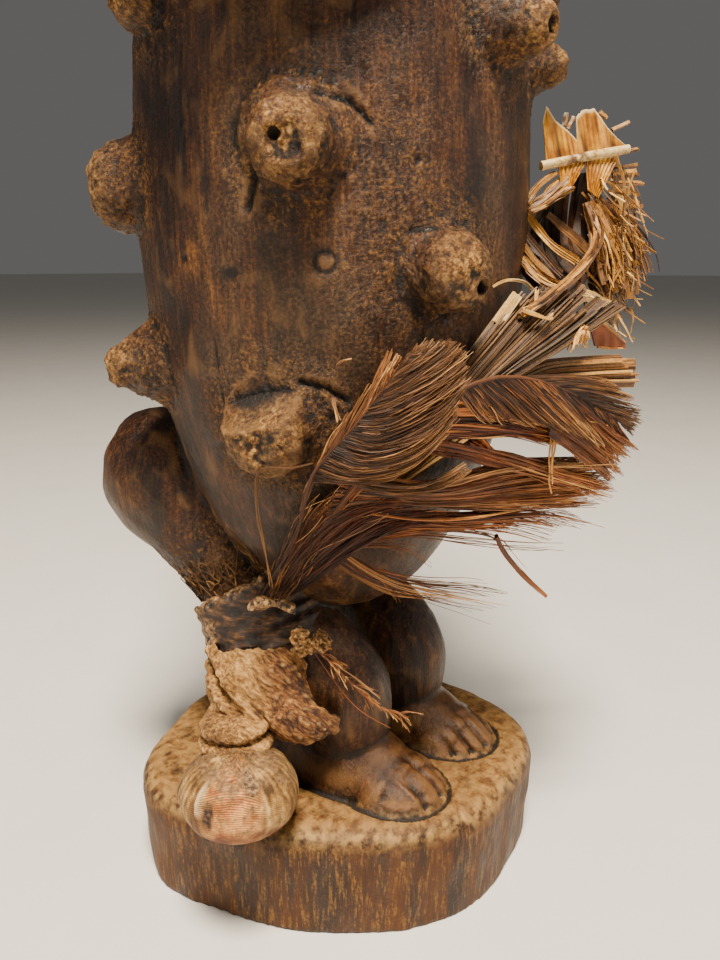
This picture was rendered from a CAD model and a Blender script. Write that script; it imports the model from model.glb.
import math

import bpy
import numpy as np
from mathutils import Matrix, Vector, noise


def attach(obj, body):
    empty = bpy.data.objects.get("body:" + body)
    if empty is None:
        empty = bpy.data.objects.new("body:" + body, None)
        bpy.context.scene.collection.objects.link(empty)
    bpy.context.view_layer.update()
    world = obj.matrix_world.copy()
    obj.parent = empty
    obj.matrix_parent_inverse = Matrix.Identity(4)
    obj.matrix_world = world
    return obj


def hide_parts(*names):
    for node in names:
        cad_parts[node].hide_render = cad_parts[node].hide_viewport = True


# A carved wooden power figure on its oval base, with the charm bound to its right leg.
# Sizes are written in millimetres, +Z up; the figure faces -Y and stands at the origin.
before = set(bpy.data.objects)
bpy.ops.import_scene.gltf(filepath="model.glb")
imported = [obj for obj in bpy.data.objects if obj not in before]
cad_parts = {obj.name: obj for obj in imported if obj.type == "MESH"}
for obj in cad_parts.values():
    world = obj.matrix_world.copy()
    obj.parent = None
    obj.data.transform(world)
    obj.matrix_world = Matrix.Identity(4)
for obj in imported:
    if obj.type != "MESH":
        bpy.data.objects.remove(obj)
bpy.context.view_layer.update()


# Camera, light and floor. The camera looks down a little on the figure's right front. One large
# soft lamp stands high over it, so the bosses throw their shadows down the body; a pale room fills
# the shadows.
def mm(*values):
    # Millimetres turned into metres
    return tuple(value / 1000 for value in values)


bpy.ops.object.select_all(action="DESELECT")
TURN = [math.radians(angle) for angle in (75.3, 0, -56.43)]
bpy.ops.object.camera_add(location=mm(-219.15, -156.25, 207), rotation=TURN)
camera = bpy.context.object
camera.data.sensor_fit = "VERTICAL"
camera.data.sensor_height = 36
camera.data.lens = 30.56
camera.data.clip_start = 0.01
bpy.context.scene.camera = camera


def lamp(place, aim, size, power, colour):
    bpy.ops.object.light_add(type="AREA", location=mm(*place))
    light = bpy.context.object
    light.rotation_euler = (Vector(mm(*aim)) - light.location).to_track_quat("-Z", "Y").to_euler()
    light.data.size = size / 1000
    light.data.energy = power
    light.data.color = colour


lamp(place=(-400, -300, 1300), aim=(0, 0, 150), size=300, power=56, colour=(1.0, 0.88, 0.72))
lamp(place=(-950, 450, 600), aim=(0, 0, 200), size=800, power=3, colour=(1.0, 0.93, 0.85))
lamp(place=(500, -1000, 450), aim=(0, 0, 200), size=900, power=4, colour=(1.0, 0.95, 0.88))

bpy.ops.mesh.primitive_plane_add(size=40)
floor = bpy.context.object
floor.name = "floor"

world = bpy.data.worlds.new("pale room")
bpy.context.scene.world = world
world.use_nodes = True
world.node_tree.nodes["Background"].inputs["Color"].default_value = (0.80, 0.78, 0.75, 1)
world.node_tree.nodes["Background"].inputs["Strength"].default_value = 0.15


def linear(code):
    # An sRGB hex colour turned linear
    channels = [int(code[i:i + 2], 16) / 255 for i in (1, 3, 5)]
    return (*(c / 12.92 if c <= 0.04045 else ((c + 0.055) / 1.055) ** 2.4 for c in channels), 1.0)


def add(tree, kind, inputs=None, stops=None, **settings):
    # Adds a node, sets it, links or fills its inputs, and returns its result
    part = tree.nodes.new("ShaderNode" + kind)
    for name, value in settings.items():
        setattr(part, name, value)
    for socket, value in (inputs or {}).items():
        if isinstance(value, bpy.types.NodeSocket):
            tree.links.new(value, part.inputs[socket])
        else:
            part.inputs[socket].default_value = linear(value) if isinstance(value, str) else value
    if stops:
        while len(part.color_ramp.elements) < len(stops):
            part.color_ramp.elements.new(0.5)
        for element, (place, tone) in zip(part.color_ramp.elements, stops):
            element.position = place
            element.color = linear(tone) if isinstance(tone, str) else (tone, tone, tone, 1)
    return part.outputs[{"Mix": 2, "Attribute": "Fac", "TexCoord": "Object"}.get(kind, 0)]


def finish(name, roughness, **constants):
    # A new material with its roughness and other plain values
    material = bpy.data.materials.new(name)
    material.use_nodes = True
    tree = material.node_tree
    shader = tree.nodes["Principled BSDF"]
    shader.inputs["Roughness"].default_value = roughness
    for socket, value in constants.items():
        shader.inputs[socket.replace("_", " ")].default_value = value
    return material, tree, shader


def cloud(tree, size, detail=5.0, stretch=(1, 1, 1), roughness=0.55, along=None):
    # Noise with blots about `size` millimetres across; `along` is turned upright before the stretch
    place = add(tree, "TexCoord")
    if along:
        turn = Vector(along).rotation_difference(Vector((0, 0, 1))).to_euler()
        place = add(tree, "Mapping", {"Vector": place, "Rotation": turn})
    place = add(tree, "Mapping", {"Vector": place, "Scale": stretch})
    return add(tree, "TexNoise", {"Vector": place, "Scale": 1000 / size, "Detail": detail,
                                  "Roughness": roughness})


# Matt paint: a pale even ground without a shine
floor_paint, tree, shader = finish("pale matt paint", 0.9)
tint = add(tree, "ValToRGB", {0: cloud(tree, 60, 3)}, stops=[(0.3, "#d9d5cd"), (0.7, "#dedad3")])
tree.links.new(tint, shader.inputs["Base Color"])
floor.data.materials.append(floor_paint)


# Carved figure. Hardwood, cut from one block with its base by adze and knife, then oiled and
# handled until the high places shine; crust of old offerings clings round the bosses, and dust lies
# on the base.
MID_X, BODY_Y = 6, 3
BODY_PROFILE = [(0, 90), (19, 96), (33, 109), (43.5, 127), (52, 149), (58.5, 178), (61, 212),
                (61, 240), (59.5, 270), (54, 296), (44, 316), (27, 328), (0, 333)]
BASE_OUTLINE = [(-58, 38), (-58, 4), (-45, -31), (-17, -60), (14, -65),
                (48, -56), (63, -22), (59, 26), (24, 62), (-28, 61)]
BASE_HEIGHT = 38
BASE_SHOULDER = 8
BASE_TAPER = 0.975
# Degrees round the body, height, base radius, rise and form of each boss
BOSSES = [(-64, 237, 11.5, 13, "crater"), (-131, 230, 13, 14, "dome"), (-126, 178, 11, 14.5, "cone"),
          (-73, 164, 13.5, 12, "stump"), (-27, 206, 10.5, 13, "pierced"), (-6, 268, 10, 14, "cone"),
          (21, 264, 7.5, 10, "cone"), (25, 288, 10, 12, "crater"), (-112, 278, 10.5, 11, "dome"),
          (82, 240, 11, 13, "crater"), (124, 214, 12, 14, "dome"), (164, 246, 11, 13, "pierced"),
          (96, 176, 10.5, 12, "cone"), (146, 172, 11, 12, "stump"), (112, 270, 10, 12, "crater")]
# Where the hole or dish of each form sits: across, up and radius, each against the girth, then depth
PITS = {"crater": [(0.0, -0.02, 0.40, 0.8), (-0.17, 0.12, 0.15, 1.9)], "cone": [(0, 0, 0.24, 2.4)],
        "pierced": [(0.42, -0.26, 0.19, 3.6)], "stump": [],
        "dome": [(-0.1, 0.2, 0.11, 1.3), (0.3, 0.35, 0.10, 1.1), (-0.35, -0.2, 0.11, 1.1)]}
# Fractions of girth and rise from the root to the tip
FORMS = {
    "crater": [(1.28, -0.08), (1.08, 0.14), (0.94, 0.42), (0.84, 0.72), (0.70, 0.95), (0.42, 1.03), 
            (0, 1.03)],
    "dome": [(1.12, -0.05), (1.04, 0.2), (0.98, 0.45), (0.82, 0.72), (0.55, 0.93), (0.25, 1.0), (0, 1.02)],
    "cone": [(1.32, -0.08), (1.08, 0.16), (0.86, 0.45), (0.66, 0.72), (0.50, 0.94), (0.30, 1.05), 
            (0, 1.06)],
    "pierced": [(1.22, -0.08), (1.06, 0.14), (0.98, 0.42), (0.90, 0.68), (0.70, 0.9), (0.38, 1.02), 
            (0, 1.04)],
    "stump": [(1.18, -0.08), (1.04, 0.16), (0.96, 0.45), (0.90, 0.72), (0.76, 0.95), (0.5, 1.02), (0, 1.0)],
}
# Cracks and knife cuts in the body: degrees round, height at each point, then half width and depth
CUTS = [([(-75, 236), (-74, 228), (-76, 221)], 0.9, 1.6), ([(-58, 248), (-51, 246), (-46, 241)], 0.8, 1.3),
        ([(-64, 177), (-57, 175), (-52, 172)], 0.8, 1.3), ([(-36, 216), (-30, 217)], 0.7, 0.8),
        ([(-95, 262), (-96, 246), (-94, 232)], 0.5, 0.4), ([(-50, 262), (-49, 280), (-51, 296)], 0.5, 0.4),
        ([(-88, 190), (-89, 176), (-86, 160)], 0.5, 0.4), ([(-44, 190), (-43, 178), (-45, 166)], 0.5, 0.4)]
LEG = [(26, 77, 150, 8), (26, 72, 146, 17.5), (26, 60.5, 135, 24.5), (25, 42, 118.5, 20.5),
       (23, 24, 100, 17.8), (21, 6, 82.5, 17.8), (19.5, -11, 67, 18.5), (19, -13, 50, 15.5),
       (19, -13, 33, 16)]
LEG_WIDTH = 0.88
BODY_GIRTH = 58
# The trunk that the knife cuts are kept to: its reach round the axis, its lowest and highest place
TRUNK_REACH, TRUNK_Z = 66, (125, 305)
# Old marks on the belly: turn, height, radius and depth of each pit, and of the pressed ring
BELLY_PITS = [(-82, 205, 3.0, 0.5), (-97, 209, 1.6, 0.6), (-34, 233, 1.5, 0.7)]
BELLY_RING = (-57, 208, 2.7, 0.7)
FOOT_ACROSS, PALM_Z, FINGER_PITCH = 19, 298, 4.1
ARM = [(34, 3, 310, 13), (57, 8, 303, 13), (68, 7, 289, 11.5), (63, -18, 286, 10.5), (48, -40, 293, 9.5),
       (29, -50, 299, 7)]
CHIN_Z, CROWN_Z = 356, 456
HEAD_HALF_WIDTH, HEAD_HALF_DEPTH = 37, 43
VOXEL = 0.95
FIGURE_TRIANGLES = 188000


def pick(piece):
    bpy.ops.object.select_all(action="DESELECT")
    piece.select_set(True)
    bpy.context.view_layer.objects.active = piece


def lift(piece):
    # Puts a new piece's place, turn and scale into its mesh
    pick(piece)
    bpy.ops.object.transform_apply(location=True, rotation=True, scale=True)
    return piece


def ball(place, size, turn=(0, 0, 0), sides=32, rings=20):
    bpy.ops.object.select_all(action="DESELECT")
    bpy.ops.mesh.primitive_uv_sphere_add(segments=sides, ring_count=rings, radius=0.001,
                                         location=mm(*place))
    piece = bpy.context.object
    piece.scale = size
    piece.rotation_euler = [math.radians(angle) for angle in turn]
    return lift(piece)


def rod(stations, resolution=8, sides=5):
    # A round limb drawn as a bevelled curve through its stations, each x, y, z and radius
    bpy.ops.object.select_all(action="DESELECT")
    bpy.ops.curve.primitive_bezier_curve_add()
    curve = bpy.context.object
    curve.data.splines.clear()
    spline = curve.data.splines.new("BEZIER")
    spline.bezier_points.add(len(stations) - 1)
    for point, (x, y, z, radius) in zip(spline.bezier_points, stations):
        point.co = mm(x, y, z)
        point.radius = radius
        point.handle_left_type = point.handle_right_type = "AUTO"
    spline.radius_interpolation = "CARDINAL"
    curve.data.resolution_u = resolution
    curve.data.bevel_depth = 0.001
    curve.data.bevel_resolution = sides
    curve.data.use_fill_caps = True
    bpy.ops.object.convert(target="MESH")
    return lift(bpy.context.object)


def turned(profile, sides=48):
    # A profile of radius and height spun round the upright axis
    bpy.ops.object.select_all(action="DESELECT")
    bpy.ops.mesh.primitive_plane_add(size=0.001, location=(0, 0, 0))
    piece = bpy.context.object
    bpy.ops.object.mode_set(mode="EDIT")
    bpy.ops.mesh.select_all(action="SELECT")
    bpy.ops.mesh.merge(type="CENTER")
    bpy.ops.transform.translate(value=mm(profile[0][0], 0, profile[0][1]))
    for (r0, z0), (r1, z1) in zip(profile, profile[1:]):
        bpy.ops.mesh.extrude_region_move(TRANSFORM_OT_translate={"value": mm(r1 - r0, 0, z1 - z0)})
    bpy.ops.mesh.select_all(action="SELECT")
    bpy.ops.mesh.spin(steps=sides, angle=2 * math.pi, center=(0, 0, 0), axis=(0, 0, 1))
    bpy.ops.mesh.select_all(action="SELECT")
    bpy.ops.mesh.remove_doubles(threshold=0.00002)
    bpy.ops.mesh.normals_make_consistent(inside=False)
    bpy.ops.object.mode_set(mode="OBJECT")
    return piece


def join(pieces):
    bpy.ops.object.select_all(action="DESELECT")
    for piece in pieces:
        piece.select_set(True)
    bpy.context.view_layer.objects.active = pieces[0]
    bpy.ops.object.join()
    return bpy.context.object


def modify(piece, kind, **settings):
    pick(piece)
    modifier = piece.modifiers.new(kind.lower(), kind)
    for name, value in settings.items():
        setattr(modifier, name, value)
    bpy.ops.object.modifier_apply(modifier=modifier.name)


def between(a, b, c, d, t):
    # The point at share t of a smooth line from b to c (Catmull-Rom)
    return 0.5 * (2 * b + (c - a) * t + (2 * a - 5 * b + 4 * c - d) * t * t + (3 * b - a - 3 * c + d)
                  * t ** 3)


def smooth_curve(points, steps):
    # Points along a smooth line through the given ones
    ends = [2 * np.array(points[0], float) - np.array(points[1], float)]
    ends += [np.array(p, float) for p in points]
    ends += [2 * np.array(points[-1], float) - np.array(points[-2], float)]
    line = []
    for p0, p1, p2, p3 in zip(ends, ends[1:], ends[2:], ends[3:]):
        for t in np.arange(steps) / steps:
            line.append(between(p0, p1, p2, p3, t))
    return [*line, ends[-2]]


def body_radius(z):
    return float(np.interp(z, [p[1] for p in BODY_PROFILE], [p[0] for p in BODY_PROFILE]))


def on_body(turn, z, lift_mm=0.0):
    angle, reach = math.radians(turn), body_radius(z) + lift_mm
    return Vector((MID_X + reach * math.sin(angle), BODY_Y - reach * math.cos(angle), z))


def aimed(piece, outward, place):
    piece.data.transform(Vector((0, 0, 1)).rotation_difference(outward).to_matrix().to_4x4())
    piece.data.transform(Matrix.Translation(Vector(place) / 1000))
    return piece


def boss_axis(turn, z):
    outward = (on_body(turn, z, 1) - on_body(turn, z)).normalized()
    outward.z = -0.12
    return outward.normalized()


def boss(turn, z, girth, rise, form):
    profile = [(0, -6), (1.3 * girth, -6), *((r * girth, h * rise) for r, h in FORMS[form])]
    return aimed(turned(smooth_profile(profile), 28), boss_axis(turn, z), on_body(turn, z))


def smooth_profile(profile):
    line = smooth_curve([(p[0], p[1], 0) for p in profile], 3)
    return [(max(0.0, float(p[0])), float(p[1])) for p in line]


def base_block():
    bpy.ops.object.select_all(action="DESELECT")
    bpy.ops.curve.primitive_bezier_circle_add()
    curve = bpy.context.object
    curve.data.splines.clear()
    spline = curve.data.splines.new("BEZIER")
    spline.bezier_points.add(len(BASE_OUTLINE) - 1)
    for point, (x, y) in zip(spline.bezier_points, BASE_OUTLINE):
        point.co = mm(x, y, 0)
        point.handle_left_type = point.handle_right_type = "AUTO"
    spline.use_cyclic_u = True
    curve.data.resolution_u = 10
    bpy.ops.object.convert(target="MESH")
    block = lift(bpy.context.object)
    bpy.ops.object.mode_set(mode="EDIT")
    bpy.ops.mesh.select_all(action="SELECT")
    bpy.ops.mesh.remove_doubles(threshold=0.00002)
    bpy.ops.mesh.edge_face_add()
    bpy.ops.mesh.extrude_region_move(TRANSFORM_OT_translate={"value": mm(0, 0, BASE_HEIGHT)})
    bpy.ops.mesh.bevel(offset=BASE_SHOULDER / 1000, segments=6, profile=0.5)
    bpy.ops.mesh.select_all(action="SELECT")
    bpy.ops.mesh.normals_make_consistent(inside=False)
    bpy.ops.object.mode_set(mode="OBJECT")
    for vertex in block.data.vertices:
        low = max(0.0, 1 - vertex.co.z * 1000 / (BASE_HEIGHT - BASE_SHOULDER))
        vertex.co.x *= 1 - (1 - BASE_TAPER) * low
        vertex.co.y *= 1 - (1 - BASE_TAPER) * low
    return block


def leg(side, grow=0.0):
    # The limb is a little narrower across the figure than it is deep; `grow` makes it thicker
    across = MID_X - side * 22
    limb = rod([(across + (MID_X - side * x - across) / LEG_WIDTH, y, z, r + grow) for x, y, z, r in LEG],
               10, 8)
    for vertex in limb.data.vertices:
        vertex.co.x = across / 1000 + (vertex.co.x - across / 1000) * LEG_WIDTH
    return limb


def foot(side):
    x = MID_X - side * FOOT_ACROSS
    return [ball((x, -13, 37), (17, 30, 19)), ball((x, -32, 35.5), (16.6, 19.5, 13.5)),
            ball((x, 10, 37), (14, 9, 12))]


def hand(side):
    palm = on_body(-side * 27, PALM_Z, 2)
    parts = [ball(palm, (8.5, 6, 9))]
    for i in range(4):
        z = PALM_Z + (i - 1.5) * FINGER_PITCH
        tip = 7 + 2.5 * abs(i - 1)
        stations = [(*on_body(-side * turn, z, 2.2), radius)
                    for turn, radius in ((27, 2.2), (18, 2.3), (tip, 1.9))]
        parts.append(rod(stations, 6, 3))
        parts.append(ball(on_body(-side * tip, z, 2.2), (1.9, 1.9, 1.9), sides=12, rings=8))
    thumb = [(*on_body(-side * turn, z, 3), radius) for turn, z, radius
             in ((30, 303, 2.6), (24, 308, 2.5), (17, 309, 2))]
    parts.append(rod(thumb, 6, 3))
    return parts


def head():
    middle, half = (CHIN_Z + CROWN_Z) / 2, (CROWN_Z - CHIN_Z) / 2
    skull = ball((0, 0, 0), (1, 1, 1), sides=64, rings=48)
    for vertex in skull.data.vertices:
        x, y, z = vertex.co * 1000
        low = max(0.0, -z)
        reach = 1 - 0.25 * low if y > 0 else 1 + 0.3 * low
        vertex.co = mm(MID_X + x * HEAD_HALF_WIDTH * (1 - 0.3 * low * low),
                       y * HEAD_HALF_DEPTH * reach - 2 * low, middle + z * half)
    nose_base = (middle + CHIN_Z) / 2
    mouth = nose_base + (CHIN_Z - nose_base) / 3
    parts = [skull]
    parts.append(rod([(MID_X, -37, middle + 14, 4), (MID_X, -41.5, middle + 2, 4),
                      (MID_X, -45.5, nose_base + 6, 6.2), (MID_X, -42, nose_base - 1, 5)], 8, 6))
    parts.append(ball((MID_X, -43.2, nose_base + 3.5), (6.2, 6, 5.2)))
    lips = [(-12, -33.5, -0.6, 1.2), (-7, -38.3, 0.5, 2.2), (0, -40.4, 1.3, 2.7),
            (7, -38.3, 0.5, 2.2), (12, -33.5, -0.6, 1.2)]
    parts.append(rod([(MID_X + x, y, mouth + 1.6 + z * 0.6, r) for x, y, z, r in lips], 8, 5))
    parts.append(rod([(MID_X + x * 0.9, y + 0.4, mouth - 2.6 - z * 0.6, r) for x, y, z, r in lips], 8, 5))
    parts.append(ball((MID_X, -31.5, CHIN_Z + 5), (9, 6, 5)))
    for side in (-1, 1):
        x = MID_X + side * HEAD_HALF_WIDTH * 0.4
        parts.append(ball((MID_X + side * 5, -40.5, nose_base + 2.6), (3.4, 4.2, 3.6)))
        parts.append(ball((x, -35.6, middle + 0.5), (7.6, 5, 4.2), (0, 0, side * 18)))
        for way, swell in ((1, 1.1), (-1, 0.9)):
            lid = [(side * -8.5, -36.6, 0, 0.7), (side * -4, -39.9, 3.3 * way, swell),
                   (0, -40.4, 4.4 * way, swell), (side * 4, -38.4, 3.4 * way, swell),
                   (side * 8.5, -33.6, 0, 0.7)]
            parts.append(rod([(x + dx, y, middle + 0.5 + z, r) for dx, y, z, r in lid], 8, 4))
        parts.append(rod([(MID_X + side * 4, -40, middle + 11, 2.6), (x, -37.5, middle + 13.5, 3.1),
                          (x + side * 12, -26, middle + 10, 2)], 8, 5))
        ear = MID_X + side * HEAD_HALF_WIDTH * 0.95
        parts.append(ball((ear, 3, middle - 6), (4, 8, 13), (0, side * 6, 0)))
        parts.append(rod([(ear + side * 3, -3, middle + 4, 1.6), (ear + side * 4.6, 4, middle + 7, 2),
                          (ear + side * 4.8, 10, middle + 1, 2), (ear + side * 4.2, 8, middle - 9, 1.9),
                          (ear + side * 3, 1, middle - 17, 2.2)], 8, 5))
    cap = ball((MID_X, 2, middle + 3), (HEAD_HALF_WIDTH + 2.5, HEAD_HALF_DEPTH + 2, half), sides=64,
               rings=40)
    bpy.ops.object.mode_set(mode="EDIT")
    hairline, nape = ((MID_X, -40, middle + 25), (0, 0.57, 0.82)), ((MID_X, 0, middle - 16), (0, 0, 1))
    for point, normal in (hairline, nape):
        bpy.ops.mesh.select_all(action="SELECT")
        bpy.ops.mesh.bisect(plane_co=mm(*point), plane_no=normal, use_fill=True, clear_inner=True)
    bpy.ops.object.mode_set(mode="OBJECT")
    parts.append(cap)
    bpy.ops.object.select_all(action="DESELECT")
    parts.append(rod([(MID_X, 5, 316, 22), (MID_X, 4, 326, 19), (MID_X, 4, 344, 17.5),
                      (MID_X, 3, 366, 18)], 8, 8))
    return parts


body = turned(smooth_profile(BODY_PROFILE), 96)
body.data.transform(Matrix.Translation(mm(MID_X, BODY_Y, 0)))
parts = [body, base_block(), leg(1), leg(-1), *foot(1), *foot(-1), *head()]
for side in (1, -1):
    parts.append(rod([(MID_X - side * x, y, z, r) for x, y, z, r in ARM], 10, 7))
    parts.extend(hand(side))
parts.extend(boss(*one) for one in BOSSES)
figure = join(parts)
figure.name = "carved_figure_detail"
modify(figure, "REMESH", mode="VOXEL", voxel_size=VOXEL / 1000, use_smooth_shade=True)
modify(figure, "SMOOTH", factor=0.5, iterations=4)


def corners(piece):
    flat = np.empty(len(piece.data.vertices) * 3)
    piece.data.vertices.foreach_get("co", flat)
    return flat.reshape(-1, 3) * 1000


def normals(piece):
    flat = np.empty(len(piece.data.vertices) * 3)
    piece.data.vertex_normals.foreach_get("vector", flat)
    return flat.reshape(-1, 3)


def place_corners(piece, places):
    piece.data.vertices.foreach_set("co", (places / 1000).ravel())
    piece.data.update()


def paint(piece, name, values):
    layer = piece.data.attributes.new(name, "FLOAT", "POINT")
    layer.data.foreach_set("value", np.asarray(values, dtype=np.float32))


def lumps(places, size, seed=0.0, octaves=3, stretch=(1, 1, 1)):
    # Rough noise from -1 to 1 whose lumps are about `size` millimetres
    scale = np.array(stretch) / size
    return np.array([noise.fractal(Vector(p * scale) + Vector((seed, seed, seed)), 0.6, 2.0, octaves)
                     for p in places])


def even_out(values, edges, count, passes):
    # Averages values over neighbouring corners
    for _ in range(passes):
        total = np.bincount(edges[:, 0], weights=values[edges[:, 1]], minlength=len(values))
        values = (total + np.bincount(edges[:, 1], weights=values[edges[:, 0]],
                                      minlength=len(values))) / count
    return values


def hollow_and_ridge(piece, places, directions):
    # How far each corner stands out of its neighbours, less the broad curve of the form: ridges
    # positive, hollows negative
    edges = np.empty(len(piece.data.edges) * 2, dtype=np.int64)
    piece.data.edges.foreach_get("vertices", edges)
    edges = edges.reshape(-1, 2)
    count = np.maximum(1, np.bincount(edges.ravel(), minlength=len(places)))
    level = np.stack([even_out(places[:, k], edges, count, 6) for k in range(3)], 1)
    height = ((places - level) * directions).sum(1)
    return height - even_out(height, edges, count, 24)


def paint_ridges(piece, strength):
    places, directions = corners(piece), normals(piece)
    ridges = hollow_and_ridge(piece, places, directions)
    paint(piece, "ridge", np.clip(0.5 + strength * ridges, 0, 1))


# Crust: where the wrap ends on the leg; turn and height of the belly's patch, each with its spread
WRAP_TOP = (-20, 30, 106)
BELLY_CRUST = (-42, 15), (222, 34)


def rough_skin(places):
    # 1 where crust clings: round the bosses' roots, over the lower belly and above the wrap
    skin = np.zeros(len(places))
    for turn, z, girth, rise, form in BOSSES:
        gap = np.linalg.norm(places - np.array(on_body(turn, z, 1)), axis=1)
        skin = np.maximum(skin, 0.85 * np.exp(-((gap - girth * 1.25) / 7) ** 2))
    around = np.degrees(np.arctan2(places[:, 0] - MID_X, -(places[:, 1] - BODY_Y)))
    (turn, wide), (z, high) = BELLY_CRUST
    skin = np.maximum(skin, 0.8 * np.exp(-((around - turn) / wide) ** 2 - ((places[:, 2] - z) / high) ** 2))
    skin *= np.clip((places[:, 2] - 130) / 20, 0, 1)
    gap = np.linalg.norm(places - np.array(WRAP_TOP), axis=1)
    return np.clip(np.maximum(skin, 1 - (gap - 17) / 12), 0, 1)


def boss_tips(places):
    # 1 on the worn tops of the bosses
    tips = np.zeros(len(places))
    for turn, z, girth, rise, form in BOSSES:
        gap = np.linalg.norm(places - np.array(on_body(turn, z, rise * 1.05)), axis=1)
        tips = np.maximum(tips, np.clip(1.35 - gap / (0.85 * girth), 0, 1))
    return tips


def off_line(flat, line):
    # Distance from each spot on a flat to the nearest piece of a line
    nearest = np.full(len(flat), 1e9)
    for start, end in zip(line, line[1:]):
        span = end - start
        t = np.clip((flat - start) @ span / (span @ span), 0, 1)
        nearest = np.minimum(nearest, np.linalg.norm(flat - start - t[:, None] * span, axis=1))
    return nearest


def unrolled(places, line):
    # Distance from each corner to a line drawn on the unrolled body
    around = np.degrees(np.arctan2(places[:, 0] - MID_X, -(places[:, 1] - BODY_Y)))
    flat = np.stack([np.radians(around) * BODY_GIRTH, places[:, 2]], 1)
    return off_line(flat, np.array([(math.radians(turn) * BODY_GIRTH, z) for turn, z in line]))


places, directions = corners(figure), normals(figure)
skin = rough_skin(places)
on_trunk = np.hypot(places[:, 0] - MID_X, places[:, 1] - BODY_Y) < TRUNK_REACH
on_trunk &= (places[:, 2] > TRUNK_Z[0]) & (places[:, 2] < TRUNK_Z[1])
adze_marks = 0.5 * lumps(places, 17, 3.1, 2) + 0.18 * lumps(places, 5, 9.7, 2, (1, 1, 0.35))
moved = places + directions * adze_marks[:, None]
grit = np.clip(lumps(places, 1.9, 5.3, 3), 0, 1) + 0.3 * lumps(places, 5.5, 2.9, 2)
moved += directions * (skin * 0.8 * grit)[:, None]
for turn, z, girth, rise, form in BOSSES:
    axis, root = np.array(boss_axis(turn, z)), np.array(on_body(turn, z))
    across = np.array((math.cos(math.radians(turn)), math.sin(math.radians(turn)), 0))
    up = np.cross(across, -axis)
    up = up * np.sign(up[2])
    near = np.linalg.norm(places - root - axis * rise, axis=1) < girth * 1.3
    crags = 0.5 * lumps(places, 5.5, turn, 2) + 0.5 * np.abs(lumps(places, 3.0, turn + 5, 2)) - 0.15
    moved += directions * (near * crags)[:, None]
    # Knife facets round the worn top
    for facet in range(4):
        lean = math.radians(turn * 7 + facet * 97)
        slope = axis * 0.84 + (across * math.cos(lean) + up * math.sin(lean)) * 0.54
        cut = np.clip((moved - root) @ slope - 0.88 * rise - 0.24 * girth, 0, 20)
        moved -= slope * (near * cut)[:, None]
    for right, high, radius, depth in PITS[form]:
        centre = root + axis * rise + (across * right + up * high) * girth
        gap = np.linalg.norm(np.cross(places - centre, axis), axis=1) / (radius * girth)
        facing = np.clip((places - root) @ axis / rise, 0, 1) > 0.3
        dish, lip = np.clip(1.15 - gap ** 2, 0, 1), np.exp(-((gap - 1.25) / 0.25) ** 2)
        moved -= axis * (depth * facing * dish - 0.3 * facing * lip)[:, None]
    if form == "stump":
        slope = axis * 0.52 + up * 0.83 - across * 0.2
        cut = np.clip((moved - root - axis * 0.62 * rise - up * 0.42 * girth) @ slope, 0, 20)
        moved -= slope * (near * cut)[:, None]
for line, half, depth in CUTS:
    moved -= directions * (on_trunk * depth * np.exp(-(unrolled(places, line) / half) ** 2))[:, None]
for turn, z, radius, depth in BELLY_PITS:
    gap = np.linalg.norm(places - np.array(on_body(turn, z)), axis=1)
    moved -= directions * (depth * np.clip(1 - (gap / radius) ** 2, 0, 1))[:, None]
turn, z, radius, depth = BELLY_RING
ring_gap = np.linalg.norm(places - np.array(on_body(turn, z)), axis=1)
moved -= directions * (depth * np.exp(-((ring_gap - radius) / 0.7) ** 2))[:, None]
# Where each groove between the toes lies across the foot, and its depth
TOE_GROOVES = ((7, 1.5), (-1, 2.8), (-7.5, 2.4), (-13, 1.8))
# Where each nail sits across the foot, where it starts and half its width
NAILS = [(12, -36, 3.4), (3, -40, 2.9), (-4.3, -42, 2.4), (-10.4, -42, 2.2), (-15, -40, 1.5)]
# The feet: a narrow trench where each meets the base, grooves between the toes, flat cut nails
for side in (1, -1):
    outward = (MID_X - side * FOOT_ACROSS - places[:, 0]) * side
    over_base = np.clip(1 - abs(places[:, 2] - 37.5) / 3, 0, 1)
    ring = np.minimum(np.hypot(outward / 17.5, (places[:, 1] + 13) / 30.5),
                      np.hypot(outward / 17.1, (places[:, 1] + 32) / 20))
    moved[:, 2] -= 1.1 * np.exp(-((ring - 1.02) / 0.045) ** 2) * over_base
    on_foot = (places[:, 2] > 38.8) & (places[:, 2] < 60) & (np.abs(outward) < 18)
    front_way = np.clip((-35 - places[:, 1]) / 9, 0, 1) * on_foot
    for gap, deep in TOE_GROOVES:
        lean = gap + 0.10 * (places[:, 1] + 40)
        moved -= directions * (deep * front_way * np.exp(-((outward - lean) / 1.15) ** 2))[:, None]
    for middle, start, half in NAILS:
        beside = np.clip((half - np.abs(outward - middle)) / 0.7 + 0.5, 0, 1)
        ahead = np.clip((start - places[:, 1]) / 0.8 + 0.5, 0, 1)
        nail = beside * ahead * on_foot * np.clip((places[:, 2] - 40.5) / 1.5, 0, 1)
        moved -= directions * (0.8 * nail)[:, None]
moved[:, 2] = np.where(places[:, 2] < 0.6, np.maximum(places[:, 2], 0.0), np.maximum(moved[:, 2], 0.0))
place_corners(figure, moved)
modify(figure, "DECIMATE", ratio=min(1.0, FIGURE_TRIANGLES / (2 * len(figure.data.polygons))))
pick(figure)
bpy.ops.object.shade_smooth()

places, directions = corners(figure), normals(figure)
paint(figure, "crust", rough_skin(places))
paint(figure, "tips", boss_tips(places))
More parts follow.
